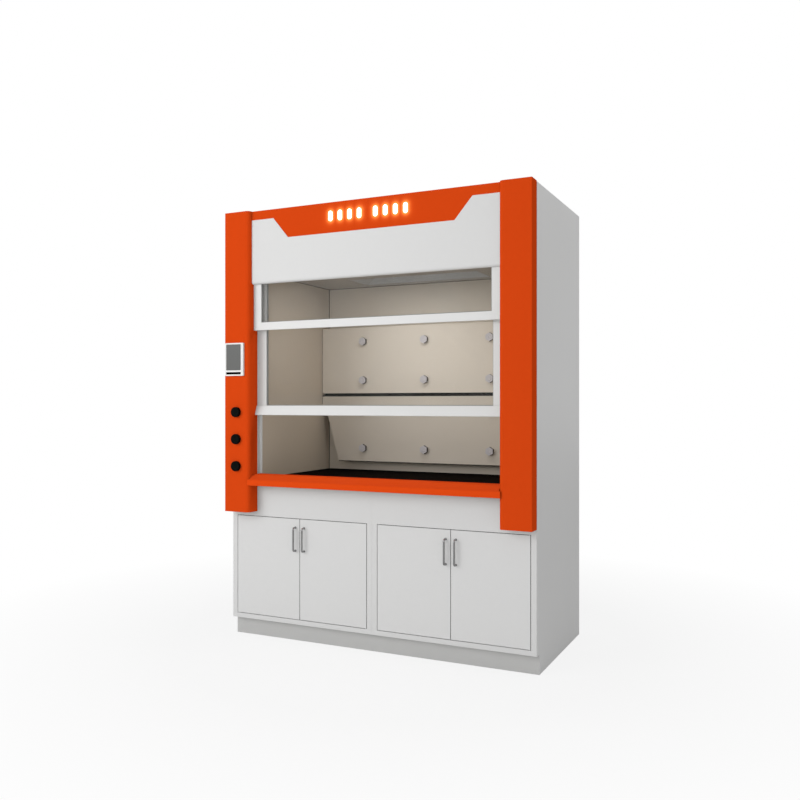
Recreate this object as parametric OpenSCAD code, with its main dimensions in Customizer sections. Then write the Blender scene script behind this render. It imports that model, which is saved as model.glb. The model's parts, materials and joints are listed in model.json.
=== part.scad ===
// Bench fume hood: a ventilated work chamber with a counterbalanced sash, on two base cabinets.
// +Z is up, +X is to the right as seen from the front, and +Y is towards the back.
// The origin is on the floor, under the middle of the casing's footprint. Lengths are in millimetres.

/* [Casing] */
// Width over the two side panels
casing_w = 1800; // [1760:10:1900]
// Depth from the casing's front plane to its back panel
casing_d = 850; // [820:10:920]
// Height of the casing from the floor to its top
casing_h = 2400; // [2390:5:2460]
// Thickness of the painted steel sheet
sheet_t = 1.5; // [1.2:0.1:1.8]
// Width of the folded edges of the sheet panels
fold_w = 20; // [15:1:24]
// Hairline seam between two fixed neighbours
seam = 0.3; // [0.2:0.05:0.4]

/* [Plinth] */
// Height of the plinth under the cabinets
plinth_h = 100; // [85:5:120]
// How far the toe kick stands back from the front
toe_recess = 40; // [30:5:70]
// Width of the plinth's rails and runners
plinth_rail_w = 40; // [36:1:50]
// Wall of the plinth's square tube
plinth_wall = 2; // [1.5:0.5:3]
// Height of a leveling foot under the plinth
foot_h = 20; // [15:1:30]
// Diameter of a leveling foot's disc
foot_d = 50; // [44:1:60]

/* [Base cabinets] */
// Height of the cabinet tops above the floor
cabinet_top = 868; // [850:1:885]
// Width of the steel face beside a door opening
stile_w = 30; // [28:1:36]
// Height of the steel face under the doors
bottom_rail_h = 26; // [24:1:32]
// Height of the door openings
door_open_h = 562; // [540:2:570]
// Depth of the cabinets
cabinet_d = 800; // [760:10:810]
// Height of the shelf above the floor
shelf_z = 470; // [400:10:520]

/* [Doors] */
// Thickness of a double-skinned door
door_t = 20; // [18:1:22]
// Thickness of a door's steel skin
door_skin = 1.2; // [1:0.1:1.5]
// Gap all round a door
reveal = 3; // [2.8:0.1:4]
// Distance of the pivot pins from a door's edge and face
pivot_in = 6; // [5:0.5:6]
// Diameter of the pivot pins
pin_d = 5; // [4:0.5:6]
// Radial running clearance of a pin or axle
run_gap = 0.06; // [0.04:0.01:0.08]
// Distance of a door handle from the gap between the doors
handle_in = 28; // [24:1:40]
// Distance between the two feet of a door handle
handle_span = 128; // [96:2:160]
// Diameter of a door handle's bar
handle_bar_d = 10; // [8:0.5:12]
// Distance from the door to the middle of the handle's bar
handle_out = 24; // [22:1:28]
// Height of a door handle's middle above the floor
handle_z = 573; // [500:1:590]

/* [Columns] */
// Width of the coloured front columns
column_w = 167; // [160:1:170]
// How far the columns stand in front of the casing
column_proud = 80; // [72:1:95]
// Height of the columns' lower ends above the floor
column_bottom = 715; // [705:5:760]
// Radius of the columns' front corners beside the opening
column_r = 24; // [10:1:26]
// Radius of the columns' outer front corners
column_outer_r = 3; // [2:0.5:12]
// How far the columns and the header rise above the casing's top
front_rise = 4; // [0:1:10]

/* [Header] */
// Height of the header above the view window
header_h = 410; // [390:5:420]
// How far the header lies behind the columns' faces
header_recess = 25; // [20:1:32]
// Radius of the header's rolled lower edge
header_r = 14; // [8:1:16]
// Thickness of the header's pale front sheet
header_t = 2; // [1.5:0.1:3]
// Height of the coloured band at the header's ends
band_h = 51; // [35:1:70]
// Height of the coloured field at the header's middle
field_h = 164; // [130:2:190]
// Width of the coloured field's lower edge
field_w = 984; // [900:4:1040]
// Run of the sloping side of the coloured field
field_slope = 96; // [60:2:140]
// Height of a lit bar on the header
lit_bar_h = 54; // [40:1:60]
// Width of a lit bar on the header
lit_bar_w = 24; // [16:1:30]
// Spacing of the lit bars
lit_bar_pitch = 58; // [44:1:64]

/* [View window] */
// Distance of the fixed view window's lower edge from the casing's top
window_drop = 663; // [645:1:690]
// Height of the fixed view window
window_h = 383; // [350:1:400]
// Height of the view window's lower rail
window_rail_h = 43; // [36:1:50]
// Thickness of the view window's frame
window_d = 20; // [18:0.5:21]
// How far the view window stands in front of the casing
window_proud = 36; // [27:0.5:40]

/* [Sash] */
// Height of the parked sash above its closed place
sash_open = 332; // [250:1:340]
// How far the sash can rise above its parked place
sash_rise = 240; // [150:1:245]
// Overlap of the closed sash behind the view window's lower rail
sash_lap = 41; // [34:1:42]
// Width of the upright bars of the view window
bar_w = 50; // [44:1:56]
// Width of the upright bars of the sash
sash_bar_w = 56; // [48:1:62]
// Thickness of the sash frame
sash_d = 22; // [20:0.5:23]
// How far the sash lies behind the casing's front plane
sash_set_back = 5; // [4:0.5:6]
// Height of the sash's top rail
sash_top_rail = 40; // [34:1:46]
// Height of the sash's handle rail
handle_rail_h = 54; // [46:1:62]
// How far the handle rail's lower lip stands in front of the casing
handle_lip = 27; // [22:1:27]
// How far the handle rail's upper edge stands in front of the casing
handle_top_lip = 8; // [4:1:14]
// Wall of the aluminium sections
section_wall = 2; // [1.6:0.1:2.4]
// Thickness of the window panes
glass_t = 5; // [4:0.5:6]
// Side clearance of the sash
sash_gap = 0.5; // [0.4:0.1:0.8]

/* [Counterbalance] */
// Diameter of the wire cable
cable_d = 4; // [3:0.5:5]
// Distance of the sash cable from the side of the guide post
cable_in = 9.5; // [9:0.5:11]
// Radius from a pulley's axis to the middle of its cable
pulley_r = 47.5; // [46:0.5:49]
// Width of a pulley
pulley_w = 14; // [12:0.5:15]
// Distance of the pulley axes from the casing's top
pulley_drop = 65; // [62:1:75]
// Diameter of a pulley's axle
axle_d = 12; // [10:0.5:14]
// Width of a counterweight
weight_w = 62; // [56:1:64]
// Depth of a counterweight
weight_d = 28; // [25:0.5:29]
// Room under the counterweights at their lowest place
weight_floor_gap = 107; // [60:1:140]

/* [Work chamber] */
// Distance of the chamber's side walls from the casing's sides
chamber_in = 180; // [178:0.5:185]
// Distance of the ceiling from the casing's top
ceiling_drop = 334; // [310:1:340]
// Thickness of the chamber's lining boards
liner_t = 6; // [5:0.5:8]
// Space behind the back lining
back_void = 64; // [50:1:72]
// Distance of the baffle boards' faces from the back lining
baffle_out = 92; // [80:1:110]
// Distance of the middle of the side fixings from the chamber's middle
fixing_x = 418; // [380:1:440]
// Size of a fixing's hexagonal head across its flats
fixing_af = 44; // [36:1:48]
// Height of a fixing's head
fixing_head_h = 20; // [14:1:24]
// Lower edge of the lower baffle board above the cabinets' top
baffle_rise = 98; // [82:1:112]
// Air slot between the two baffles
baffle_slot = 13; // [8:1:20]
// Air gap between the upper baffle and the ceiling
baffle_top_gap = 265; // [240:1:300]
// Length of the lamp
lamp_l = 660; // [500:10:800]
// Width of the lamp
lamp_w = 170; // [140:5:200]
// Height of the lamp's housing above the ceiling
lamp_h = 66; // [50:2:80]

/* [Worktop and sill] */
// Thickness of the worktop at its dished middle
worktop_t = 30; // [25:1:34]
// Height of the worktop's rim above the dished middle
rim_h = 6; // [4:1:8]
// Width of the worktop's rim
rim_w = 14; // [10:1:20]
// Height of the air sill's top above the floor
sill_top = 927; // [920:1:935]
// Height of the sill's nose
sill_nose_h = 30; // [24:1:36]
// How far the sill's nose stands in front of the columns' faces
sill_nose_proud = 8; // [5:1:14]
// Overlap of the sill's nose in front of each column
sill_overlap = 10; // [4:1:14]

/* [Exhaust] */
// Outer diameter of the exhaust collar
collar_d = 250; // [200:10:260]
// Height of the exhaust collar above the casing
collar_h = 100; // [60:5:105]
// Width of the exhaust opening in the ceiling
outlet_w = 828; // [700:4:900]
// Depth of the exhaust opening in the ceiling
outlet_d = 265; // [262:1:300]

/* [Controls] */
// Distance of the knobs' axes from the casing's side
knob_in = 82.5; // [78:0.5:86]
// Height of the lowest knob above the floor
knob_z = 973; // [960:1:1000]
// Spacing of the knobs
knob_pitch = 152; // [120:1:160]
// Diameter of a knob
knob_d = 57; // [45:1:60]
// Width of the display's bezel
display_w = 124; // [110:1:126]
// Height of the display's bezel
display_h = 185; // [170:1:200]
// Height of the display's lower edge above the floor
display_z = 1481; // [1440:1:1500]
// How far the display's bezel stands off the column
display_proud = 12; // [8:1:16]

/* [Hidden] */

// Colours of the real surfaces
white_paint = [0.87, 0.87, 0.86];
orange_paint = [0.85, 0.29, 0.08];
grey_paint = [0.70, 0.70, 0.69];
beige_board = [0.74, 0.70, 0.64];
black_top = [0.05, 0.05, 0.05];
bare_steel = [0.62, 0.62, 0.63];
bright_steel = [0.75, 0.75, 0.76];
brass = [0.72, 0.56, 0.28];
pale_plastic = [0.85, 0.85, 0.85];
lit_plastic = [1, 0.97, 0.92];
pale_glass = [0.75, 0.85, 0.85, 0.35];
dark_plastic = [0.06, 0.06, 0.06];

$fn = 48;
// Small overrun that keeps a cut clear of the face it leaves
over = 1;
// Steps in the arc of a folded corner
arc_steps = 6;

// Casing planes
hx = casing_w / 2;
front_y = -casing_d / 2;
back_y = casing_d / 2;
side_in = hx - sheet_t - seam;
back_in = back_y - sheet_t - seam;

// Columns and what lies between them
column_gap_side = 1;
col_out = hx - column_gap_side;
col_in = col_out - column_w;
col_front = front_y - column_proud;
col_back = front_y - seam;
column_flange = 22;
between = col_in - seam;
front_top = casing_h + front_rise;

// Header
header_y = col_front + header_recess;
header_bottom = front_top - header_h;
header_lip_gap = 1;
header_inner_r = 3;
header_hem = 20;
light_panel_lap = 15;
lit_bar_t = 3;
lit_bar_drop = 74;
lit_bars_a_group = 4;
lit_group_x = 135;

// Glazed frames: the groove that holds a pane, and how deep the pane sits in it
groove_gap = 0.3;
groove_depth = 10;
pane_in = groove_depth - groove_gap;
window_y = front_y - window_proud;
window_bottom = casing_h - window_drop;
window_top = window_bottom + window_h;

// Sash and its guides
sash_y = front_y + sash_set_back;
sash_half = col_in - sash_gap;
sill_gap = 1;
sash_closed = sill_top + sill_gap;
sash_h = window_bottom + sash_lap - sash_closed;
sash_bottom = sash_closed + sash_open;
sash_top = sash_bottom + sash_h;
sash_glass_z0 = sash_bottom + handle_rail_h;
sash_mid_y = sash_y + sash_d / 2;
post_face = col_in + sash_gap;
post_w = 29.5;
post_d = sash_set_back + sash_d + 3;
groove_w = 12;
groove_in = 21.5;
post_top = casing_h - pulley_drop - pulley_r - 12;
fin_t = 3;
fin_root = 5;
fin_gap = 1.5;
fin_y = sash_y + sash_d + fin_gap;
shoe_gap = 0.5;
shoe_l = 60;
shoe_up = 70;
shoe_drop = 170;
shoe_low_z = sash_bottom + shoe_up;
shoe_high_z = sash_top - shoe_drop;
ferrule_r = 4.5;
ferrule_h = 15;

// Counterbalance
cable_x = post_face + cable_in;
cable_y = sash_mid_y;
pulley_x = cable_x + pulley_r;
weight_x = cable_x + 2 * pulley_r;
pulley_z = casing_h - pulley_drop;
flange_r = pulley_r + 4.5;
pulley_groove_r = pulley_r - cable_d / 2 - seam;
bracket_t = 3;
bracket_w = 40;
bracket_gap = 1;
axle_head_t = 2;
axle_head_r = axle_d / 2 + 3;
weight_stop_gap = 21;
weight_top = pulley_z - flange_r - ferrule_h - sash_open - weight_stop_gap;
weight_bottom = cabinet_top + sash_rise + weight_floor_gap;
channel_gap = 2;

// Inner frame of square tube
tube = 30;
tube_wall = 1.5;
frame_y = front_y + 45;
frame_x = side_in - tube;
frame_top = casing_h - sheet_t - seam;
frame_mid_z = cabinet_top + (frame_top - cabinet_top) / 2;
rear_frame_y = back_in - tube;
cross_rail_y = [front_y + casing_d / 3, front_y + casing_d * 2 / 3];

// Work chamber
chamber_half = hx - chamber_in;
ceiling_z = casing_h - ceiling_drop;
chamber_back = back_y - back_void - liner_t;
liner_front = fin_y + fin_t + seam;
sill_back = liner_front - seam;
sill_flat_front = 36;
sill_radii = [0, 3, 12, 18, 3, 0];
baffle_y = chamber_back - baffle_out;
fixing_pin_r = 6;
fixing_sleeve_r = 12;
fixing_hole_r = fixing_pin_r + 0.15;
fixing_drop = 88;
fixing_rise = 81;
baffle_low = cabinet_top + baffle_rise;
baffle_top = ceiling_z - baffle_top_gap;
board_h = (baffle_top - baffle_low - baffle_slot) / 2;
upper_board_z = [baffle_top - board_h, baffle_top];
lower_board_z = [baffle_low, baffle_low + board_h];
upper_fixing_z = [upper_board_z[0] + fixing_rise, upper_board_z[1] - fixing_drop];
lower_fixing_z = [lower_board_z[0] + fixing_rise, lower_board_z[1] - fixing_drop];
baffle_half = chamber_half - 5;
baffle_step_h = 67;
baffle_step_w = 22;
baffle_taper = 0.281;
lamp_in = 160;
lamp_y = front_y + lamp_in;
lens_t = 4;
lamp_flange = 10;
light_board_y = 35;
light_board_w = 24;
light_board_t = 12;
light_board_in = 30;

// Exhaust
collar_r = collar_d / 2;
collar_wall = 1.5;
collar_swell = 2;
collar_tail_r = collar_r + collar_swell;
neck_r = collar_tail_r - collar_wall - seam;
neck_drop = 50;
neck_l = 40;
tail_start = 10;
outlet_in = 45;
outlet_back = chamber_back - outlet_in;
outlet_y = outlet_back - outlet_d / 2;
plenum_z0 = ceiling_z + liner_t;
plenum_z1 = casing_h - neck_drop;

// Base
open_z0 = plinth_h + bottom_rail_h;
open_z1 = open_z0 + door_open_h;
open_x0 = stile_w;
open_x1 = hx - stile_w;
open_mid = (open_x0 + open_x1) / 2;
return_d = 20;
stop_w = 10;
stop_gap = 1.6;
pin_reach = 8;
pin_play = 2;
bearing_w = 18;
bearing_d = 15;
bearing_h = 10;
boss_w = 14;
boss_h = 20;
screw_r = 2.2;
shelf_back = 60;
shelf_lip = 20;
foot_in = 50;
runner_x = hx - foot_in;
foot_front = 90;
foot_back = 40;
foot_y = [front_y + foot_front, 0, back_y - foot_back];
foot_x = [-runner_x, 0, runner_x];

// Door edges, counted from the middle of the hood
outer_edge = open_x1 - reveal;
inner_edge = open_x0 + reveal;
split_out = open_mid + reveal / 2;
split_in = open_mid - reveal / 2;

// Controls on the left column
knob_x = -(hx - knob_in);
knob_h = 18;
knob_edge = 2;
knob_gap = 0.5;
stem_r = 5;
stem_l = 24;
valve_r = 15;
valve_l = 34;
pipe_r = 8;
pipe_l = 64;
screen_t = 2;
screen_sunk = 0.5;
display_x0 = -(hx - 11);
display_rim = 8;
screen_x = [display_x0 + display_rim, display_x0 + display_w - 2 * display_rim];
screen_z = [display_z + 31, display_z + display_h - display_rim];
strip_z = [display_z + display_rim, display_z + 21];

// Box between two values on each axis
module block(x, y, z) {
    translate([x[0], y[0], z[0]]) cube([x[1] - x[0], y[1] - y[0], z[1] - z[0]]);
}

// The children and their mirror image on the other side of the middle
module both_sides() {
    children();
    mirror([1, 0, 0]) children();
}

// Cylinder along +Y from y0 to y1
module rod_y(r, x, z, y0, y1) {
    translate([x, y0, z]) rotate([-90, 0, 0]) cylinder(r = r, h = y1 - y0);
}

// A profile drawn as (y, z) and run along X from x0 to x1
module run_x(x0, x1) {
    translate([x0, 0, 0]) rotate([90, 0, 90]) linear_extrude(x1 - x0) children();
}

// A profile drawn as (x, z) and run along Y from y0 to y1
module run_y(y0, y1) {
    translate([0, y1, 0]) rotate([90, 0, 0]) linear_extrude(y1 - y0) children();
}

function unit(v) = v / norm(v);
function left_of(v) = [-v[1], v[0]];
function cross2(a, b) = a[0] * b[1] - a[1] * b[0];

// Arc that rounds the corner b of a path from a to c
function corner(a, b, c, r) =
    r <= 0 ? [b] :
    let (u = unit(a - b), v = unit(c - b), half = acos(u * v) / 2,
         mid = b + unit(u + v) * r / sin(half), turn = cross2(-u, v) > 0 ? 1 : -1,
         start = b + u * r / tan(half) - mid, sweep = turn * (180 - 2 * half))
    [for (i = [0 : arc_steps]) let (g = sweep * i / arc_steps)
        mid + [start[0] * cos(g) - start[1] * sin(g), start[0] * sin(g) + start[1] * cos(g)]];

// Open path with a radius at each inner point
function rounded_path(p, r) =
    [for (i = [0 : len(p) - 1]) each
        (i == 0 || i == len(p) - 1) ? [p[i]] : corner(p[i - 1], p[i], p[i + 1], r[i])];

// Closed outline with a radius at each point
function rounded_ring(p, r) =
    let (n = len(p)) [for (i = [0 : n - 1]) each corner(p[(i + n - 1) % n], p[i], p[(i + 1) % n], r[i])];

// The same path moved to its left by t, with mitred corners
function moved_left(p, t) =
    let (n = len(p)) [for (i = [0 : n - 1])
        let (a = i == 0 ? left_of(unit(p[1] - p[0])) : left_of(unit(p[i] - p[i - 1])),
             b = i == n - 1 ? a : left_of(unit(p[i + 1] - p[i])), m = unit(a + b))
        p[i] + m * t / (m * b)];

// Folded sheet: p is the outer face, and the thickness lies to its left
module folded(p, r, t) {
    outer = rounded_path(p, r);
    inner = moved_left(outer, t);
    polygon(concat(outer, [for (i = [len(inner) - 1 : -1 : 0]) inner[i]]));
}

// Rectangle with rounded corners
module round_rect(x, z, r) {
    polygon(rounded_ring([[x[0], z[0]], [x[1], z[0]], [x[1], z[1]], [x[0], z[1]]], [r, r, r, r]));
}

// Hollow glazing section: w wide from its outer edge to the groove's lips, d thick
module glazing_section(w, d) {
    web = w - groove_depth - section_wall;
    difference() {
        square([w, d]);
        translate([section_wall, section_wall]) square([web - section_wall, d - 2 * section_wall]);
        translate([w - groove_depth, d / 2 - glass_t / 2 - groove_gap])
            square([groove_depth + over, glass_t + 2 * groove_gap]);
    }
}

// Upright glazing bar on the right, with its groove towards the middle
module glazing_stile(x_out, y, w, d, z0, z1) {
    translate([x_out, y, z0]) linear_extrude(z1 - z0) mirror([1, 0]) glazing_section(w, d);
}

// Level glazing rail; its groove faces down, or up
module glazing_rail(half, y, d, z_out, w, groove_up) {
    run_x(-half, half) translate([y, z_out]) mirror([0, groove_up ? 0 : 1])
        rotate(90) mirror([0, 1]) glazing_section(w, d);
}

// Square tube along Z from z0 to z1
module tube_z(x, y, z0, z1, wall = tube_wall) {
    translate([0, 0, z0]) linear_extrude(z1 - z0) difference() {
        translate([x[0], y[0]]) square([x[1] - x[0], y[1] - y[0]]);
        translate([x[0] + wall, y[0] + wall]) square([x[1] - x[0] - 2 * wall, y[1] - y[0] - 2 * wall]);
    }
}

// Square tube along X
module tube_x(x, y, z, wall = tube_wall) {
    run_x(x[0], x[1]) difference() {
        translate([y[0], z[0]]) square([y[1] - y[0], z[1] - z[0]]);
        translate([y[0] + wall, z[0] + wall]) square([y[1] - y[0] - 2 * wall, z[1] - z[0] - 2 * wall]);
    }
}

// Square tube along Y
module tube_y(x, y, z, wall = tube_wall) {
    run_y(y[0], y[1]) difference() {
        translate([x[0], z[0]]) square([x[1] - x[0], z[1] - z[0]]);
        translate([x[0] + wall, z[0] + wall]) square([x[1] - x[0] - 2 * wall, z[1] - z[0] - 2 * wall]);
    }
}

// Plinth of square tube, with runners under the cabinets' sides
module plinth_frame() {
    z = [foot_h, plinth_h];
    y0 = front_y + toe_recess + sheet_t + seam;
    y1 = back_y - 10;
    half = runner_x + plinth_rail_w / 2;
    color(grey_paint) {
        tube_x([-half, half], [y0, y0 + plinth_rail_w], z, plinth_wall);
        tube_x([-half, half], [y1 - plinth_rail_w, y1], z, plinth_wall);
        for (x = foot_x)
            tube_y([x - plinth_rail_w / 2, x + plinth_rail_w / 2],
                   [y0 + plinth_rail_w + seam, y1 - plinth_rail_w - seam], z, plinth_wall);
    }
}

// Nine leveling feet: a domed disc, a lock nut and a stud that enters the runner
module leveling_foot() {
    rim = 3;
    disc_h = 7;
    stud_r = 6;
    nut_h = 6;
    nut_r = 10.5;
    rotate_extrude() polygon([[0, 0], [foot_d / 2, 0], [foot_d / 2, rim], [nut_r, disc_h], [0, disc_h]]);
    translate([0, 0, disc_h]) cylinder(r = stud_r, h = foot_h - disc_h);
    translate([0, 0, foot_h - nut_h]) cylinder(r = nut_r, h = nut_h, $fn = 6);
}

module leveling_feet() {
    color(bare_steel) for (x = foot_x, y = foot_y) translate([x, y, 0]) leveling_foot();
}

// Toe kick board on the plinth's front rail
module toe_kick() {
    floor_gap = 1;
    y = front_y + toe_recess;
    color(grey_paint) block([-side_in, side_in], [y, y + sheet_t], [floor_gap, plinth_h - seam]);
}

// Bearing block for a door's pivot pin, behind the steel face
module pin_bearing(x, z0) {
    block([x - bearing_w / 2, x + bearing_w / 2], [front_y + sheet_t, front_y + bearing_d],
          [z0, z0 + bearing_h]);
}

// Right-hand base cabinet: a folded steel box with a double door opening
module cabinet() {
    x = [seam / 2, side_in];
    y = [front_y, front_y + cabinet_d];
    z = [plinth_h, cabinet_top];
    pins = [open_x0 + reveal + pivot_in, open_x1 - reveal - pivot_in];
    difference() {
        union() {
            difference() {
                block(x, y, z);
                block([x[0] + sheet_t, x[1] - sheet_t], [y[0] + sheet_t, y[1] - sheet_t],
                      [z[0] + sheet_t, z[1] - sheet_t]);
            }
            // Frame returned inwards round the opening, with a stop above and below the doors
            block([open_x0 - sheet_t, open_x1 + sheet_t], [y[0], y[0] + return_d],
                  [open_z0 - sheet_t, open_z1 + sheet_t]);
            stop_y = y[0] + door_t + stop_gap;
            for (s = [[open_z0 - sheet_t, open_z0 + stop_w], [open_z1 - stop_w, open_z1 + sheet_t]])
                block([open_x0 - sheet_t, open_x1 + sheet_t], [stop_y - stop_gap, stop_y + sheet_t], s);
            for (p = pins) {
                pin_bearing(p, open_z0 - sheet_t - bearing_h);
                pin_bearing(p, open_z1 + sheet_t);
            }
        }
        block([open_x0, open_x1], [y[0] - over, y[0] + door_t + stop_gap], [open_z0, open_z1]);
        block([open_x0, open_x1], [y[0] - over, y[0] + 2 * return_d], [open_z0 + stop_w, open_z1 - stop_w]);
        for (p = pins, s = [open_z0 - pin_reach - pin_play, open_z1 - over])
            translate([p, y[0] + pivot_in, s])
                cylinder(r = pin_d / 2 + run_gap, h = pin_reach + pin_play + over);
    }
}

module cabinet_right() { color(white_paint) cabinet(); }
module cabinet_left() { color(white_paint) mirror([1, 0, 0]) cabinet(); }

// One folded steel shelf in each cabinet
module shelves() {
    x = [seam / 2 + sheet_t + seam, side_in - sheet_t - seam];
    y = [front_y + shelf_back, front_y + cabinet_d - sheet_t - seam];
    color(white_paint) both_sides() difference() {
        block(x, y, [shelf_z, shelf_z + shelf_lip]);
        block([x[0] + door_skin, x[1] - door_skin], [y[0] + door_skin, y[1] - door_skin],
              [shelf_z - over, shelf_z + shelf_lip - door_skin]);
    }
}

// Side panel on the right: flat sheet with a toe notch, folded at the back and behind the column
module side_panel() {
    x = [hx - sheet_t, hx];
    difference() {
        block(x, [front_y, back_y], [0, casing_h]);
        block([x[0] - over, x[1] + over], [front_y - over, front_y + toe_recess], [-over, plinth_h]);
    }
    block([hx - fold_w, hx], [back_y - sheet_t, back_y], [0, casing_h]);
    block([hx - fold_w, hx], [front_y, front_y + sheet_t],
          [cabinet_top + seam, casing_h - sheet_t - seam]);
}

module side_panel_right() { color(white_paint) side_panel(); }
module side_panel_left() { color(white_paint) mirror([1, 0, 0]) side_panel(); }

// Back panel between the side panels' folds, with its own edges folded in
module back_panel() {
    half = hx - fold_w - seam;
    z = [foot_h, casing_h];
    color(white_paint) {
        block([-half, half], [back_y - sheet_t, back_y], z);
        block([-half, half], [back_y - 9, back_y], [z[0], z[0] + sheet_t]);
    }
}

// Top panel with the hole for the exhaust collar
module top_panel() {
    color(white_paint) difference() {
        block([-side_in, side_in], [front_y, back_in], [casing_h - sheet_t, casing_h]);
        translate([0, outlet_y, casing_h - sheet_t - over])
            cylinder(r = collar_tail_r + seam, h = sheet_t + 2 * over, $fn = 96);
    }
}

// Frame of square tube on the cabinets: it carries the pulleys, the linings and the casing
module inner_frame() {
    mid = [frame_mid_z, frame_mid_z + tube];
    top = [pulley_z - tube / 2, pulley_z + tube / 2];
    color(bare_steel) {
        both_sides() {
            for (y = [frame_y, rear_frame_y])
                tube_z([frame_x, frame_x + tube], [y, y + tube], cabinet_top, frame_top);
            for (z = [mid, top])
                tube_y([frame_x, frame_x + tube], [frame_y + tube + seam, rear_frame_y - seam], z);
            for (y = cross_rail_y)
                tube_x([chamber_half + liner_t + seam, frame_x - seam], [y, y + tube], mid);
        }
        for (y = [frame_y, rear_frame_y]) tube_x([-frame_x + seam, frame_x - seam], [y, y + tube], top);
    }
}

// Right-hand column: a folded cover, well rounded beside the opening, closed at its ends
module column() {
    outline = [[col_in + column_flange, col_back], [col_in, col_back], [col_in, col_front],
               [col_out, col_front], [col_out, col_back], [col_out - column_flange, col_back]];
    radii = [0, 2, column_r, column_outer_r, 2, 0];
    translate([0, 0, column_bottom]) linear_extrude(front_top - column_bottom)
        folded(outline, radii, sheet_t);
    for (z = [column_bottom, front_top - sheet_t])
        translate([0, 0, z]) linear_extrude(sheet_t) polygon(rounded_path(outline, radii));
}

module column_right() { color(orange_paint) column(); }

// The left column has openings for the display and the three valve stems
module column_left() {
    color(orange_paint) difference() {
        mirror([1, 0, 0]) column();
        block([display_x0 + display_rim, display_x0 + display_w - display_rim],
              [col_front - over, col_front + 2 * sheet_t],
              [display_z + display_rim, display_z + display_h - display_rim]);
        for (i = [0 : 2])
            rod_y(stem_r + 1, knob_x, knob_z + i * knob_pitch, col_front - over, col_front + 2 * sheet_t);
    }
}

// Pale header sheet: rolled under at the bottom, cut away round the coloured field at the top
module header_panel() {
    lip_y = window_y - header_lip_gap;
    r = min(header_r, lip_y - header_y - header_inner_r - 1);
    profile = [[lip_y, header_bottom + header_hem], [lip_y, header_bottom],
               [header_y, header_bottom], [header_y, front_top]];
    color(white_paint) difference() {
        run_x(-between, between) folded(profile, [0, header_inner_r, r, 0], -header_t);
        run_y(header_y - over, header_y + header_t + over) header_field(over);
    }
}

// Outline of the coloured field, drawn as (x, z); grow widens it past the header's ends and top
module header_field(grow) {
    z1 = front_top - band_h;
    z0 = front_top - field_h;
    w0 = field_w / 2;
    w1 = w0 + field_slope;
    w2 = between + grow;
    top = front_top + grow;
    polygon([[-w2, top], [-w2, z1], [-w1, z1], [-w0, z0], [w0, z0], [w1, z1], [w2, z1], [w2, top]]);
}

// Coloured sheet behind the header's cut-away, returned over the gap in front of the casing
module header_light_panel() {
    y = header_y + header_t;
    profile = [[y, front_top - field_h - light_panel_lap], [y, front_top], [front_y - seam, front_top]];
    color(orange_paint) run_x(-between, between) folded(profile, [0, 2, 0], -sheet_t);
}

// Two rows of plain lit bars let into the coloured field
module header_light_bars() {
    z = front_top - lit_bar_drop;
    y = header_y + header_t;
    r = lit_bar_w / 2;
    color(lit_plastic) run_y(y - lit_bar_t, y)
        for (side = [-1, 1], i = [0 : lit_bars_a_group - 1]) {
            x = side * lit_group_x + (i - (lit_bars_a_group - 1) / 2) * lit_bar_pitch;
            translate([x - r, z - lit_bar_h / 2 + r]) square([lit_bar_w, lit_bar_h - lit_bar_w]);
            for (s = [-1, 1]) translate([x, z + s * (lit_bar_h / 2 - r)]) circle(r);
        }
}

// Fixed view window over the sash
module window_frame() {
    rail_half = between - bar_w - seam;
    color(white_paint) {
        both_sides() glazing_stile(between, window_y, bar_w, window_d, window_bottom, window_top);
        glazing_rail(rail_half, window_y, window_d, window_bottom, window_rail_h, true);
        glazing_rail(rail_half, window_y, window_d, window_top, window_rail_h, false);
    }
}

// Pane held in a frame's grooves; the four values are the frame's clear opening
module pane(half, y_mid, z0, z1) {
    block([-half - pane_in, half + pane_in], [y_mid - glass_t / 2, y_mid + glass_t / 2],
          [z0 - pane_in, z1 + pane_in]);
}

module window_glass() {
    color(pale_glass) pane(between - bar_w, window_y + window_d / 2,
                           window_bottom + window_rail_h, window_top - window_rail_h);
}

// Guide posts beside the sash: a slot for the shoes, and a fin over the sill that meets the lining
module guide_posts() {
    fin_z = sill_top + seam;
    color(white_paint) both_sides() {
        translate([0, 0, cabinet_top]) linear_extrude(post_top - cabinet_top) difference() {
            translate([post_face, front_y + seam]) square([post_w, post_d - seam]);
            translate([post_face - over, cable_y - groove_w / 2]) square([groove_in + over, groove_w]);
        }
        block([chamber_half + seam, post_face + fin_root], [fin_y, fin_y + fin_t], [fin_z, post_top]);
    }
}

// Folded channels in which the counterweights run
module weight_channels() {
    half = weight_w / 2 + channel_gap;
    y0 = front_y + seam;
    y1 = cable_y + weight_d / 2 + channel_gap;
    color(bare_steel) both_sides() translate([0, 0, cabinet_top]) linear_extrude(post_top - cabinet_top)
        difference() {
            translate([weight_x - half - sheet_t, y0]) square([2 * (half + sheet_t), y1 + sheet_t - y0]);
            translate([weight_x - half, y0 - over]) square([2 * half, y1 - y0 + over]);
        }
}

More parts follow.
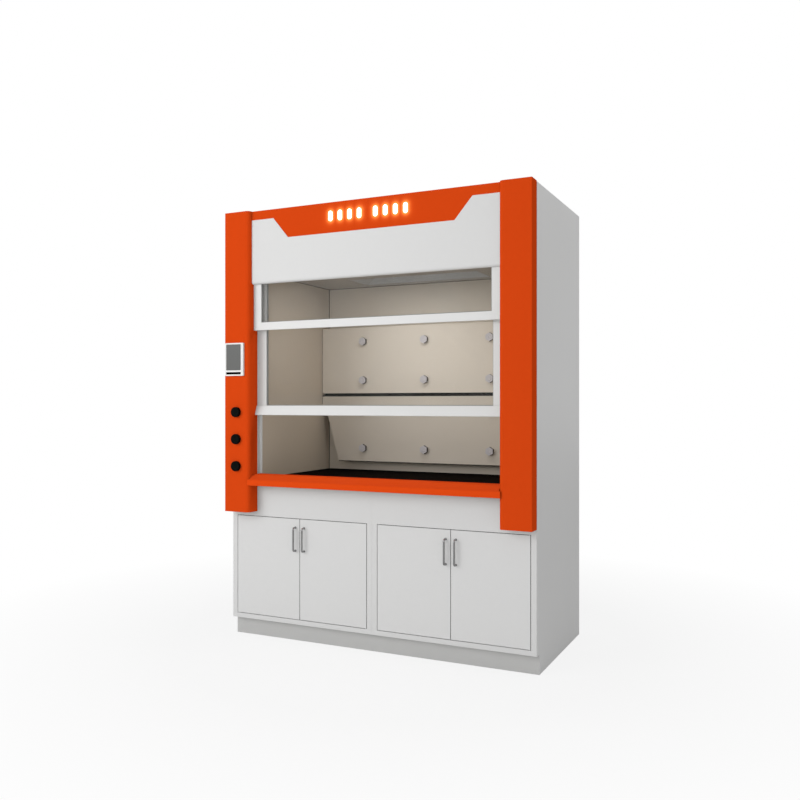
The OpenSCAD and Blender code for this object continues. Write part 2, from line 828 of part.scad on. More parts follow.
// Pulley brackets on the frame's front beam, each with its axle
module pulley_brackets() {
    x = [pulley_x - bracket_w / 2, pulley_x + bracket_w / 2];
    low = pulley_z - bracket_w / 2;
    high = pulley_z + flange_r + sheet_t;
    cheek = pulley_w / 2 + bracket_gap;
    front = cable_y - cheek - bracket_t;
    color(bare_steel) both_sides() {
        block(x, [front, front + bracket_t], [low, high + bracket_t]);
        block(x, [cable_y + cheek, cable_y + cheek + bracket_t], [low, high + bracket_t]);
        block(x, [front, frame_y], [high, high + bracket_t]);
        block(x, [frame_y - bracket_t, frame_y], [low, high + bracket_t]);
        rod_y(axle_d / 2, pulley_x, pulley_z, front, cable_y + cheek + bracket_t + axle_head_t);
        rod_y(axle_head_r, pulley_x, pulley_z, front - axle_head_t, front);
    }
}

// Side lining boards, back lining and ceiling of the work chamber
module side_liner() {
    block([chamber_half, chamber_half + liner_t], [liner_front, chamber_back + liner_t],
          [cabinet_top, ceiling_z]);
}

module liner_right() { color(beige_board) side_liner(); }
module liner_left() { color(beige_board) mirror([1, 0, 0]) side_liner(); }

module liner_back() {
    half = chamber_half - seam;
    color(beige_board) block([-half, half], [chamber_back, chamber_back + liner_t],
                             [cabinet_top, ceiling_z - seam]);
}

module ceiling() {
    half = chamber_half + liner_t;
    lens_half = lamp_l / 2 - lamp_flange;
    color(beige_board) difference() {
        block([-half, half], [liner_front, chamber_back + liner_t], [ceiling_z, ceiling_z + liner_t]);
        block([-outlet_w / 2, outlet_w / 2], [outlet_back - outlet_d, outlet_back],
              [ceiling_z - over, ceiling_z + liner_t + over]);
        block([-lens_half, lens_half], [lamp_y + lamp_flange, lamp_y + lamp_w - lamp_flange],
              [ceiling_z - over, ceiling_z + liner_t + over]);
    }
}

// Lamp: a steel housing with a light board over a glass lens
module lamp_housing() {
    half = lamp_l / 2;
    z0 = plenum_z0;
    color(white_paint) {
        difference() {
            block([-half, half], [lamp_y, lamp_y + lamp_w], [z0, z0 + lamp_h]);
            block([-half + sheet_t, half - sheet_t], [lamp_y + sheet_t, lamp_y + lamp_w - sheet_t],
                  [z0 - over, z0 + lamp_h - sheet_t]);
        }
        for (s = [-1, 1]) {
            y = lamp_y + lamp_w / 2 + s * light_board_y;
            block([-half + light_board_in, half - light_board_in],
                  [y - light_board_w / 2, y + light_board_w / 2],
                  [z0 + lamp_h - light_board_t, z0 + lamp_h - sheet_t]);
        }
    }
}

module lamp_lens() {
    in = sheet_t + seam;
    color(pale_glass) block([-lamp_l / 2 + in, lamp_l / 2 - in], [lamp_y + in, lamp_y + lamp_w - in],
                            [plenum_z0, plenum_z0 + lens_t]);
}

// Tapered plenum from the ceiling's rectangular outlet to the round collar
module plenum_body(grow, z_grow) {
    w = outlet_w / 2 + grow;
    d = outlet_d / 2 + grow;
    slab = 0.5;
    r = neck_r - collar_wall + grow;
    hull() {
        block([-w, w], [outlet_y - d, outlet_y + d], [plenum_z0 - z_grow, plenum_z0 + slab]);
        translate([0, outlet_y, plenum_z1 - slab]) cylinder(r = r, h = slab + z_grow);
    }
}

module exhaust_plenum() {
    color(grey_paint) {
        difference() {
            plenum_body(collar_wall, 0);
            plenum_body(0, 0.01);
        }
        translate([0, outlet_y, plenum_z1]) difference() {
            cylinder(r = neck_r, h = neck_l);
            translate([0, 0, -over]) cylinder(r = neck_r - collar_wall, h = neck_l + 2 * over);
        }
    }
}

// Round collar that the building's duct slides over; its wider tail enters the casing over the plenum's neck
module exhaust_collar() {
    z0 = plenum_z1 + tail_start;
    inner = collar_r - collar_wall;
    tail_inner = collar_tail_r - collar_wall;
    flange = collar_r + 22;
    flange_top = casing_h + 2;
    color(bare_steel) translate([0, outlet_y, 0]) rotate_extrude($fn = 96) polygon([
        [tail_inner, z0], [collar_tail_r, z0], [collar_tail_r, casing_h], [flange, casing_h],
        [flange, flange_top], [collar_r, flange_top], [collar_r, casing_h + collar_h],
        [inner, casing_h + collar_h], [inner, casing_h], [tail_inner, casing_h]]);
}

// Baffle boards in front of the back lining; air leaves above, between and below them
module baffle_holes(heights) {
    for (x = [-fixing_x, 0, fixing_x], z = heights)
        rod_y(fixing_hole_r, x, z, baffle_y - over, baffle_y + liner_t + over);
}

module baffle_upper() {
    color(beige_board) difference() {
        block([-baffle_half, baffle_half], [baffle_y, baffle_y + liner_t], upper_board_z);
        baffle_holes(upper_fixing_z);
    }
}

// The lower board narrows towards the worktop
module baffle_lower() {
    top = lower_board_z[1];
    step_z = top - baffle_step_h;
    step_half = baffle_half - baffle_step_w;
    low_half = step_half - baffle_taper * (step_z - baffle_low);
    color(beige_board) difference() {
        run_y(baffle_y, baffle_y + liner_t) polygon([
            [-baffle_half, top], [-baffle_half, step_z], [-step_half, step_z], [-low_half, baffle_low],
            [low_half, baffle_low], [step_half, step_z], [baffle_half, step_z], [baffle_half, top]]);
        baffle_holes(lower_fixing_z);
    }
}

// Twelve fixings: a hexagonal head in front of the board and a sleeve behind it
module baffle_fixings() {
    color(pale_plastic) for (x = [-fixing_x, 0, fixing_x], z = concat(upper_fixing_z, lower_fixing_z)) {
        translate([x, baffle_y, z]) rotate([90, 30, 0])
            cylinder(r = fixing_af / 2 / cos(30), h = fixing_head_h, $fn = 6);
        rod_y(fixing_pin_r, x, z, baffle_y, baffle_y + liner_t);
        rod_y(fixing_sleeve_r, x, z, baffle_y + liner_t, chamber_back);
    }
}

// Dished black worktop with a raised rim
module worktop() {
    x = chamber_half - seam;
    y = [sill_back + seam, chamber_back - seam];
    z = cabinet_top + worktop_t;
    color(black_top) difference() {
        block([-x, x], y, [cabinet_top, z + rim_h]);
        block([-x + rim_w, x - rim_w], [y[0] + rim_w, y[1] - rim_w], [z, z + rim_h + over]);
    }
}

// Outline of the air sill's outer face, drawn as (y, z), and its radii
function sill_outline() = let (nose = col_front - sill_nose_proud, low = cabinet_top - 1)
    [[front_y - seam, low], [nose, low], [nose, low + sill_nose_h], [front_y - sill_flat_front, sill_top],
     [sill_back, sill_top], [sill_back, cabinet_top]];

// Air sill: a folded nose that guides air over the worktop's edge
module air_sill() {
    clear_y = col_front - seam;
    reach = col_in + sill_overlap;
    color(orange_paint) {
        run_x(-between, between) folded(sill_outline(), sill_radii, -sheet_t);
        intersection() {
            union() {
                run_x(-reach, reach) folded(sill_outline(), sill_radii, -sheet_t);
                both_sides() run_x(reach - sheet_t, reach) polygon(rounded_path(sill_outline(), sill_radii));
            }
            block([-reach, reach], [clear_y - column_proud, clear_y], [0, casing_h]);
        }
    }
}

// Display on the left column: a bezel with a body behind it, and pockets for the screen and a dark strip
module display_bezel() {
    x = [display_x0, display_x0 + display_w];
    z = [display_z, display_z + display_h];
    front = col_front - display_proud;
    rim = display_rim + 1;
    body_back = col_front + 30;
    color(pale_plastic) difference() {
        union() {
            run_y(front, col_front) round_rect(x, z, 4);
            block([x[0] + rim, x[1] - rim], [front + display_proud / 2, body_back], [z[0] + rim, z[1] - rim]);
        }
        run_y(front - over, front + screen_sunk + screen_t) {
            round_rect(screen_x, screen_z, 1.5);
            round_rect(screen_x, strip_z, 1.5);
        }
    }
}

module display_screen() {
    y = col_front - display_proud + screen_sunk;
    fit = [0.1, -0.1];
    color(dark_plastic) run_y(y, y + screen_t) for (z = [screen_z, strip_z])
        round_rect(screen_x + fit, z + fit, 1.4);
}

// Valve bodies behind the column's face, one for each knob
module service_valves() {
    inside = col_front + sheet_t;
    flange_t = 4;
    color(brass) for (i = [0 : 2]) {
        z = knob_z + i * knob_pitch;
        difference() {
            union() {
                rod_y(valve_r + 5, knob_x, z, inside, inside + flange_t);
                rod_y(valve_r, knob_x, z, inside + flange_t, inside + valve_l);
                translate([knob_x, inside + valve_l - pipe_r - 4, z - pipe_l / 2])
                    cylinder(r = pipe_r, h = pipe_l);
            }
            rod_y(stem_r + run_gap, knob_x, z, inside - over, inside + stem_l + 2);
        }
    }
}

// Knob: a full disc with a fluted rim, a chamfered edge, a pointer groove and a stem
module valve_knob(i) {
    r = knob_d / 2;
    flute_r = 5;
    flute_depth = 1.2;
    groove = 2;
    z = knob_z + i * knob_pitch;
    color(dark_plastic) translate([knob_x, col_front - knob_gap, z]) rotate([90, 0, 0]) {
        difference() {
            rotate_extrude() polygon([
                [0, 0], [r, 0], [r, knob_h - knob_edge], [r - knob_edge, knob_h], [0, knob_h]]);
            for (a = [15 : 30 : 345]) rotate(a) translate([r + flute_r - flute_depth, 0, knob_edge])
                cylinder(r = flute_r, h = knob_h, $fn = 24);
            translate([-groove / 2, r / 4, knob_h - groove / 2]) cube([groove, r / 2, groove]);
        }
        translate([0, 0, -stem_l]) cylinder(r = stem_r, h = stem_l + over);
    }
}

module valve_knob_bottom() { valve_knob(0); }
module valve_knob_middle() { valve_knob(1); }
module valve_knob_top() { valve_knob(2); }

// Sash: two stiles and a top rail of hollow section
module sash_frame() {
    rail_half = sash_half - sash_bar_w - seam;
    color(white_paint) {
        both_sides() glazing_stile(sash_half, sash_y, sash_bar_w, sash_d, sash_glass_z0, sash_top);
        glazing_rail(rail_half, sash_y, sash_d, sash_top, sash_top_rail, false);
    }
}

// Handle rail: a hollow section whose face leans forward to a finger lip, with the pane's groove on top
module sash_handle() {
    z = [sash_bottom, sash_glass_z0];
    back = sash_y + sash_d;
    outline = [[back, z[0]], [front_y - handle_lip, z[0]], [front_y - handle_top_lip, z[1]], [back, z[1]]];
    w = section_wall;
    slope = (handle_lip - handle_top_lip) / handle_rail_h;
    lip = function(h) front_y - handle_lip + slope * h + w * 1.1;
    top = handle_rail_h - groove_depth - w;
    color(white_paint) difference() {
        run_x(-sash_half, sash_half) polygon(rounded_ring(outline, [2, 4, 3, 2]));
        run_x(-sash_half - over, sash_half + over) polygon([
            [back - w, z[0] + w], [lip(w), z[0] + w], [lip(top), z[0] + top], [back - w, z[0] + top]]);
        run_x(-sash_half + sash_bar_w - groove_depth, sash_half - sash_bar_w + groove_depth)
            translate([sash_mid_y - glass_t / 2 - groove_gap, z[1] - groove_depth])
                square([glass_t + 2 * groove_gap, groove_depth + over]);
    }
}

module sash_glass() {
    color(pale_glass) pane(sash_half - sash_bar_w, sash_mid_y, sash_glass_z0, sash_top - sash_top_rail);
}

// Guide shoes on the stiles, the upper ones with the ferrules of the sash cables
module sash_shoes() {
    x = [sash_half, post_face + groove_in - shoe_gap];
    half = groove_w / 2 - shoe_gap;
    color(dark_plastic) both_sides() {
        for (z = [shoe_low_z, shoe_high_z]) block(x, [cable_y - half, cable_y + half], [z, z + shoe_l]);
        translate([cable_x, cable_y, shoe_high_z + shoe_l]) cylinder(r = ferrule_r, h = ferrule_h);
    }
}

// Steel counterweight with the ferrule of its cable
module counterweight(side) {
    x = side * weight_x;
    color(bare_steel) {
        block([x - weight_w / 2, x + weight_w / 2], [cable_y - weight_d / 2, cable_y + weight_d / 2],
              [weight_bottom, weight_top]);
        translate([x, cable_y, weight_top]) cylinder(r = ferrule_r + 1, h = ferrule_h);
    }
}

module counterweight_left() { counterweight(-1); }
module counterweight_right() { counterweight(1); }

// Grooved pulley on its axle
module pulley(side) {
    w = pulley_w / 2;
    bore = axle_d / 2 + run_gap;
    hub = axle_d / 2 + 6;
    rim = pulley_r - 10;
    web = 2.5;
    edge = w - 1.5;
    groove = cable_d / 2;
    color(dark_plastic) translate([side * pulley_x, cable_y, pulley_z]) rotate([-90, 0, 0])
        difference() {
            rotate_extrude($fn = 72) polygon([
                [bore, -w], [hub, -w], [hub, -web], [rim, -web], [rim, -w], [flange_r, -w],
                [flange_r, -edge], [pulley_groove_r, -groove], [pulley_groove_r, groove], [flange_r, edge],
                [flange_r, w], [rim, w], [rim, web], [hub, web], [hub, w], [bore, w]]);
            for (a = [0 : 60 : 300]) rotate(a) translate([(hub + rim) / 2, 0, -w])
                cylinder(r = 6, h = pulley_w);
        }
}

module pulley_left() { pulley(-1); }
module pulley_right() { pulley(1); }

// Wire cables: upright runs to the sash and to the counterweights, and the turns over the pulleys
module sash_cables() {
    z0 = shoe_high_z + shoe_l + ferrule_h;
    color(bare_steel) both_sides() translate([cable_x, cable_y, z0])
        cylinder(r = cable_d / 2, h = pulley_z - z0, $fn = 16);
}

module pulley_cables() {
    color(bare_steel) both_sides() translate([pulley_x, cable_y, pulley_z]) rotate([90, 0, 0])
        rotate_extrude(angle = 180, $fn = 72) translate([pulley_r, 0]) circle(r = cable_d / 2, $fn = 16);
}

module weight_cables() {
    z0 = weight_top + ferrule_h;
    color(bare_steel) both_sides() translate([weight_x, cable_y, z0])
        cylinder(r = cable_d / 2, h = pulley_z - z0, $fn = 16);
}

// Double-skinned door on two pivot pins; x_pin is its hinged edge and x_free its free edge
module door(x_pin, x_free) {
    x = [min(x_pin, x_free), max(x_pin, x_free)];
    y = [front_y, front_y + door_t];
    z = [open_z0 + reveal, open_z1 - reveal];
    inward = sign(x_free - x_pin);
    pivot = x_pin + inward * pivot_in;
    handle_x = x_free - inward * (handle_in - reveal / 2);
    color(white_paint) {
        difference() {
            block(x, y, z);
            difference() {
                block([x[0] + door_skin, x[1] - door_skin], [y[0] + door_skin, y[1] - door_skin],
                      [z[0] + door_skin, z[1] - door_skin]);
                for (s = [z[0], z[1] - boss_h])
                    block([pivot - boss_w / 2, pivot + boss_w / 2], [y[0], y[0] + boss_w], [s, s + boss_h]);
            }
            for (s = [-1, 1])
                rod_y(screw_r, handle_x, handle_z + s * handle_span / 2, y[0] - over, y[1] + over);
        }
        for (s = [z[0] - reveal - pin_reach, z[1]])
            translate([pivot, y[0] + pivot_in, s]) cylinder(r = pin_d / 2, h = reveal + pin_reach);
    }
}

module door_left_outer() { door(-outer_edge, -split_out); }
module door_left_inner() { door(-inner_edge, -split_in); }
module door_right_inner() { door(inner_edge, split_in); }
module door_right_outer() { door(outer_edge, split_out); }

// Bow handle: two feet and a bar, joined by round elbows
module bow_handle(x) {
    r = handle_bar_d / 2;
    elbow = handle_bar_d;
    straight = handle_span / 2 - elbow;
    color(bright_steel) translate([x, front_y, handle_z]) {
        for (s = [0, 1]) mirror([0, 0, s]) {
            rod_y(r, 0, handle_span / 2, -handle_out + elbow, 0);
            rod_y(r + 1.5, 0, handle_span / 2, -2, 0);
            translate([0, -handle_out + elbow, straight]) rotate([90, 0, -90])
                rotate_extrude(angle = 90) translate([elbow, 0]) circle(r = r, $fn = 24);
        }
        translate([0, -handle_out, -straight]) cylinder(r = r, h = 2 * straight, $fn = 24);
    }
}

module handle_left_outer() { bow_handle(-open_mid - handle_in); }
module handle_left_inner() { bow_handle(-open_mid + handle_in); }
module handle_right_inner() { bow_handle(open_mid - handle_in); }
module handle_right_outer() { bow_handle(open_mid + handle_in); }

plinth_frame();
leveling_feet();
toe_kick();
cabinet_left();
cabinet_right();
shelves();
side_panel_left();
side_panel_right();
back_panel();
top_panel();
inner_frame();
column_left();
column_right();
header_panel();
header_light_panel();
header_light_bars();
window_frame();
window_glass();
guide_posts();
weight_channels();
pulley_brackets();
liner_left();
liner_right();
liner_back();
ceiling();
lamp_housing();
lamp_lens();
exhaust_plenum();
exhaust_collar();
baffle_upper();
baffle_lower();
baffle_fixings();
worktop();
air_sill();
display_bezel();
display_screen();
service_valves();
sash_frame();
sash_handle();
sash_glass();
sash_shoes();
counterweight_left();
counterweight_right();
pulley_left();
pulley_right();
sash_cables();
pulley_cables();
weight_cables();
door_left_outer();
door_left_inner();
door_right_inner();
door_right_outer();
handle_left_outer();
handle_left_inner();
handle_right_inner();
handle_right_outer();
valve_knob_top();
valve_knob_middle();
valve_knob_bottom();
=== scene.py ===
"""Looks of the fume hood: finishes, small trim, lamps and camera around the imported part."""
import json
import math

import bmesh
import bpy
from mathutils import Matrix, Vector


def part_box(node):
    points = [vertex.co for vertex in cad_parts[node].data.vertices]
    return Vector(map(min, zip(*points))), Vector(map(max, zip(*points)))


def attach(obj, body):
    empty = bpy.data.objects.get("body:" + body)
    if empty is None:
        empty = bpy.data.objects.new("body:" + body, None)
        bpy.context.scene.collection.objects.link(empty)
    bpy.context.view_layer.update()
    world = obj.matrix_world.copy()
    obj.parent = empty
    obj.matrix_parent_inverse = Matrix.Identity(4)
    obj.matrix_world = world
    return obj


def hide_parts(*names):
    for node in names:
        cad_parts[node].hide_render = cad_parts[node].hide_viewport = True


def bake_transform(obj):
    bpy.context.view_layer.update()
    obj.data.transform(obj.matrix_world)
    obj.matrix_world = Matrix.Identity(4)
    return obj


# Sizes and places are in metres, and MM turns millimetres into them
MM = 0.001
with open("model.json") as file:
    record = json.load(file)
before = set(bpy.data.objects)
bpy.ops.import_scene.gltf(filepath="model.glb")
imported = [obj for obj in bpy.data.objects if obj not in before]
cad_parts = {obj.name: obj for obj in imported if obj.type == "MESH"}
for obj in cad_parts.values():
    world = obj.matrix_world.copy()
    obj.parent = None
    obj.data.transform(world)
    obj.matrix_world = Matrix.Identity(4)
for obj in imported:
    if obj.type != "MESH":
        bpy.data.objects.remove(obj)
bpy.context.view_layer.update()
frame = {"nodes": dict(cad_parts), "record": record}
nodes = frame["nodes"]

# Camera, its turn in degrees and its lens and sensor in millimetres
CAMERA_PLACE = (2.05327, -4.36059, 1.32666)
CAMERA_TURN = 25.63
LENS = 37.67
SENSOR_WIDTH = 36
LENS_SHIFT_UP = 0.0041
NEAR_CLIP = 0.05


def make_camera():
    """Level camera at the photograph's viewing angle."""
    turn = (math.radians(90), 0, math.radians(CAMERA_TURN))
    bpy.ops.object.camera_add(location=CAMERA_PLACE, rotation=turn)
    camera = bpy.context.object
    camera.data.lens = LENS
    camera.data.sensor_width = SENSOR_WIDTH
    camera.data.shift_y = LENS_SHIFT_UP
    camera.data.clip_start = NEAR_CLIP
    bpy.context.scene.camera = camera


make_camera()

# Shader helpers
FULL = (0.0, 1.0)
# The part of a noise's range that its values mostly fill
MASK_RANGE = (0.3, 0.7)
SOFT_RADIUS = 1.2 * MM
DUST_COLOUR = (0.50, 0.48, 0.45)


class Tree:
    """Short way to add nodes to a node tree and join them."""

    def __init__(self, tree):
        self.tree = tree

    def add(self, kind, values=None, **settings):
        """New node with its settings and its sockets' plain values."""
        node = self.tree.nodes.new(kind)
        for key, value in settings.items():
            setattr(node, key, value)
        for key, value in (values or {}).items():
            node.inputs[key].default_value = value
        return node

    def join(self, output, socket):
        """Link from an output to a socket."""
        self.tree.links.new(output, socket)

    def feed(self, socket, value):
        """Give a socket an output, a number, or a colour of three values."""
        if hasattr(value, "links"):
            self.join(value, socket)
        elif isinstance(value, tuple):
            socket.default_value = (*value, 1)
        else:
            socket.default_value = value

    def math(self, operation, a, b=None, clamp=False):
        """Sum, product or the like of one or two values."""
        node = self.add("ShaderNodeMath", operation=operation, use_clamp=clamp)
        self.feed(node.inputs[0], a)
        if b is not None:
            self.feed(node.inputs[1], b)
        return node.outputs[0]

    def spread(self, value, source, target):
        """A value moved from one range to another, and kept inside it."""
        node = self.add("ShaderNodeMapRange", {1: source[0], 2: source[1], 3: target[0], 4: target[1]})
        self.join(value, node.inputs[0])
        return node.outputs[0]

    def mix_colour(self, factor, a, b):
        """Colour a where the factor is 0, colour b where it is 1."""
        node = self.add("ShaderNodeMix", data_type="RGBA")
        for socket, value in ((0, factor), (6, a), (7, b)):
            self.feed(node.inputs[socket], value)
        return node.outputs[2]

    def parts(self, vector):
        """The X, Y and Z outputs of a vector."""
        node = self.add("ShaderNodeSeparateXYZ")
        self.join(vector, node.inputs[0])
        return node.outputs

    def texture(self, kind, values, stretch=None, **settings):
        """Texture over the piece's own coordinates, drawn out along an axis where stretch is small."""
        source = self.add("ShaderNodeTexCoord").outputs["Object"]
        if stretch:
            mapping = self.add("ShaderNodeMapping", {"Scale": stretch})
            self.join(source, mapping.inputs["Vector"])
            source = mapping.outputs[0]
        node = self.add(kind, values, **settings)
        self.join(source, node.inputs["Vector"])
        return node


def new_group(name, inputs, outputs):
    """Empty shader group; inputs and outputs are (name, kind, value) and (name, kind)."""
    group = bpy.data.node_groups.new(name, "ShaderNodeTree")
    for label, kind, value in inputs:
        socket = group.interface.new_socket(label, in_out="INPUT", socket_type="NodeSocket" + kind)
        socket.default_value = value
    for label, kind in outputs:
        group.interface.new_socket(label, in_out="OUTPUT", socket_type="NodeSocket" + kind)
    tree = Tree(group)
    return group, tree, tree.add("NodeGroupInput"), tree.add("NodeGroupOutput")


def make_mottle_group():
    """Broad and fine unevenness of a finish: a colour, and a mask for its roughness."""
    group, t, inside, out = new_group(
        "mottle",
        [("Colour", "Color", (0.8, 0.8, 0.8, 1)), ("Broad size", "Float", 1.5), ("Fine size", "Float", 60.0),
         ("Amount", "Float", 0.04)],
        [("Colour", "Color"), ("Mask", "Float")])
    broad = t.texture("ShaderNodeTexNoise", {"Detail": 2.0, "Roughness": 0.5})
    fine = t.texture("ShaderNodeTexNoise", {"Detail": 3.0, "Roughness": 0.6})
    t.join(inside.outputs["Broad size"], broad.inputs["Scale"])
    t.join(inside.outputs["Fine size"], fine.inputs["Scale"])
    both = t.math("MULTIPLY", t.math("ADD", broad.outputs[0], fine.outputs[0]), 0.5)
    offset = t.math("MULTIPLY", t.math("SUBTRACT", both, 0.5), inside.outputs["Amount"])
    hue = t.add("ShaderNodeHueSaturation")
    t.join(inside.outputs["Colour"], hue.inputs["Color"])
    t.join(t.math("ADD", offset, 1.0), hue.inputs["Value"])
    t.join(hue.outputs[0], out.inputs["Colour"])
    t.join(both, out.inputs["Mask"])
    return group


def make_edge_group():
    """Rounded edges for the light to catch, and a mask of where the edges are."""
    group, t, inside, out = new_group(
        "soft edge", [("Mask gain", "Float", 6.0)], [("Normal", "Vector"), ("Mask", "Float")])
    bevel = t.add("ShaderNodeBevel", {"Radius": SOFT_RADIUS}, samples=4)
    geometry = t.add("ShaderNodeNewGeometry")
    dot = t.add("ShaderNodeVectorMath", operation="DOT_PRODUCT")
    t.join(bevel.outputs[0], dot.inputs[0])
    t.join(geometry.outputs["Normal"], dot.inputs[1])
    bend = t.math("SUBTRACT", 1.0, dot.outputs["Value"])
    t.join(bevel.outputs[0], out.inputs["Normal"])
    t.join(t.math("MULTIPLY", bend, inside.outputs["Mask gain"], clamp=True), out.inputs["Mask"])
    return group


def make_dust_group():
    """Thin dust on what faces up, patchy, as a colour laid over the finish."""
    group, t, inside, out = new_group(
        "dust", [("Colour", "Color", (0.8, 0.8, 0.8, 1)), ("Amount", "Float", 0.25)], [("Colour", "Color")])
    normal = t.parts(t.add("ShaderNodeNewGeometry").outputs["Normal"])
    up = t.spread(normal["Z"], (0.6, 1.0), FULL)
    noise = t.texture("ShaderNodeTexNoise", {"Scale": 7.0, "Detail": 4.0})
    patch = t.spread(noise.outputs[0], (0.35, 0.7), (0.3, 1.0))
    amount = t.math("MULTIPLY", t.math("MULTIPLY", up, patch), inside.outputs["Amount"])
    t.join(t.mix_colour(amount, inside.outputs["Colour"], DUST_COLOUR), out.inputs["Colour"])
    return group


MOTTLE = make_mottle_group()
SOFT_EDGE = make_edge_group()
DUST = make_dust_group()


def principled(name, **sockets):
    """New material with its Principled shader's plain values set."""
    material = bpy.data.materials.new(name)
    material.use_nodes = True
    t = Tree(material.node_tree)
    shader = material.node_tree.nodes["Principled BSDF"]
    for key, value in sockets.items():
        t.feed(shader.inputs[key.replace("_", " ")], value)
    return material, t, shader


def use_group(t, group, **values):
    """One of the shared groups, placed in a material with its own values."""
    node = t.add("ShaderNodeGroup", node_tree=group)
    for key, value in values.items():
        t.feed(node.inputs[key.replace("_", " ")], value)
    return node


def grain_bump(t, shader, size, strength, distance, normal=None, stretch=None):
    """Fine relief from noise, in the finish's own size."""
    noise = t.texture("ShaderNodeTexNoise", {"Scale": size, "Detail": 2.0}, stretch)
    bump = t.add("ShaderNodeBump", {"Strength": strength, "Distance": distance})
    t.join(noise.outputs[0], bump.inputs["Height"])
    if normal:
        t.join(normal, bump.inputs["Normal"])
    t.join(bump.outputs[0], shader.inputs["Normal"])
    return noise


def patchy_roughness(t, shader, mask, low, high):
    """Roughness between two values, where a mask says."""
    t.join(t.spread(mask, MASK_RANGE, (low, high)), shader.inputs["Roughness"])


# Finishes
BAR_FIRST = 48 * MM
BAR_PITCH = 58 * MM
BAR_COUNT = 4
BAR_HALF = 12 * MM
GLOW_REACH = 15 * MM
GLOW_FAR = (0.25, 0.02, 0.0)
GLOW_NEAR = (1.0, 0.42, 0.10)
PANEL_GLOW = 1.3
BAR_GLOW = 2.2
WHITE = (0.78, 0.78, 0.775)
# The doors' copy of the white, a little lighter: painted light
DOOR_WHITE_LIT = (0.80, 0.80, 0.795)
WHITE_WORN = (0.86, 0.86, 0.86)
GREY = (0.60, 0.60, 0.59)
GREY_WORN = (0.70, 0.70, 0.70)
# Dark grey of the doors' edges: painted shade in the gaps between the doors
EDGE_SHADE_GREY = (0.09, 0.09, 0.09)
ORANGE = (0.78, 0.072, 0.008)
# The sill's copy of the orange, lighter than the columns': painted light
SILL_ORANGE_LIT = (0.87, 0.080, 0.009)
ORANGE_WORN = (0.86, 0.17, 0.04)
ORANGE_BOUNCE = (0.30, 0.20, 0.17)
LILAC_GREY = (0.60, 0.57, 0.58)
# Dark grey of the fixings' sides: painted shade
FIXING_SIDE_SHADE = (0.12, 0.11, 0.105)
LINING_BEIGE = (0.62, 0.535, 0.435)
# Lighter and darker copies of the lining board's beige, one for each board: painted light on the baffles,
# most on the upper one, and on the back lining, and painted shade on the ceiling
BOARD_LIT_AND_SHADED = {
    "baffle_upper": (0.745, 0.675, 0.58),
    "baffle_lower": (0.67, 0.605, 0.52),
    "ceiling": (0.50, 0.455, 0.405),
    "liner_back": (0.71, 0.64, 0.545),
}
STRIP_HEIGHT = 18 * MM
STRIP_EDGE = 1 * MM
STRIP_BLACK = (0.0015, 0.0015, 0.0015)
SCREEN_LOW = (0.160, 0.162, 0.157)
SCREEN_HIGH = (0.168, 0.172, 0.168)
DOOR_SPOTS = ("left_outer", "left_inner", "right_inner", "right_outer")


def edge_shade(t, coat, colour):
    """Plain strip in place of the coat on the edges of a board that faces the front: painted shade, dark in
    the gaps between neighbouring boards.
    """
    normal = t.parts(t.add("ShaderNodeTexCoord").outputs["Normal"])
    flat = t.spread(t.math("ABSOLUTE", normal["Y"]), (0.6, 0.9), FULL)
    return t.mix_colour(flat, colour, coat)


def paint(name, colour, worn_colour, gloss=0.3, amount=0.05, dusty=0.2, bounce=None, strip=None):
    """Satin powder coat on steel: orange peel, faint mottle, dust on top and thin wear at the edges.

    bounce is a calmer colour for the light that the paint throws on its neighbours, and strip the
    colour of painted shade on the edges, dark in the gaps between neighbours.
    """
    material, t, shader = principled(name, Specular_IOR_Level=gloss)
    mottle = use_group(t, MOTTLE, Colour=colour, Broad_size=1.2, Fine_size=40.0, Amount=amount)
    edge = use_group(t, SOFT_EDGE, Mask_gain=2.5)
    dust = use_group(t, DUST, Amount=dusty)
    wear = t.math("MULTIPLY", edge.outputs["Mask"], 0.35)
    t.join(t.mix_colour(wear, mottle.outputs["Colour"], worn_colour), dust.inputs["Colour"])
    coat = dust.outputs[0]
    # Painted shade on the edges, in the strip colour
    if strip:
        coat = edge_shade(t, coat, strip)
    if bounce:
        light = t.add("ShaderNodeLightPath")
        coat = t.mix_colour(light.outputs["Is Diffuse Ray"], coat, bounce)
    t.join(coat, shader.inputs["Base Color"])
    patchy_roughness(t, shader, mottle.outputs["Mask"], 0.36, 0.48)
    grain_bump(t, shader, size=900.0, strength=0.12, distance=0.0004, normal=edge.outputs["Normal"])
    return material


def orange_paint(name="orange powder coat", colour=ORANGE):
    """The columns' orange coat, nearly without gloss or dust."""
    return paint(name, colour, ORANGE_WORN, gloss=0.0, amount=0.09, dusty=0.015, bounce=ORANGE_BOUNCE)


def coated_aluminium():
    """White coated profile with a faint grain along its length."""
    material, t, shader = principled("coated aluminium", Coat_Weight=0.1, Coat_Roughness=0.3)
    mottle = use_group(t, MOTTLE, Colour=(0.80, 0.80, 0.79), Broad_size=2.0, Fine_size=80.0, Amount=0.04)
    edge = use_group(t, SOFT_EDGE, Mask_gain=2.5)
    wear = t.math("MULTIPLY", edge.outputs["Mask"], 0.4)
    t.join(t.mix_colour(wear, mottle.outputs["Colour"], (0.9, 0.9, 0.9)), shader.inputs["Base Color"])
    patchy_roughness(t, shader, mottle.outputs["Mask"], 0.3, 0.4)
    grain_bump(t, shader, size=500.0, strength=0.1, distance=0.0003, normal=edge.outputs["Normal"],
               stretch=(0.15, 1, 1))
    return material


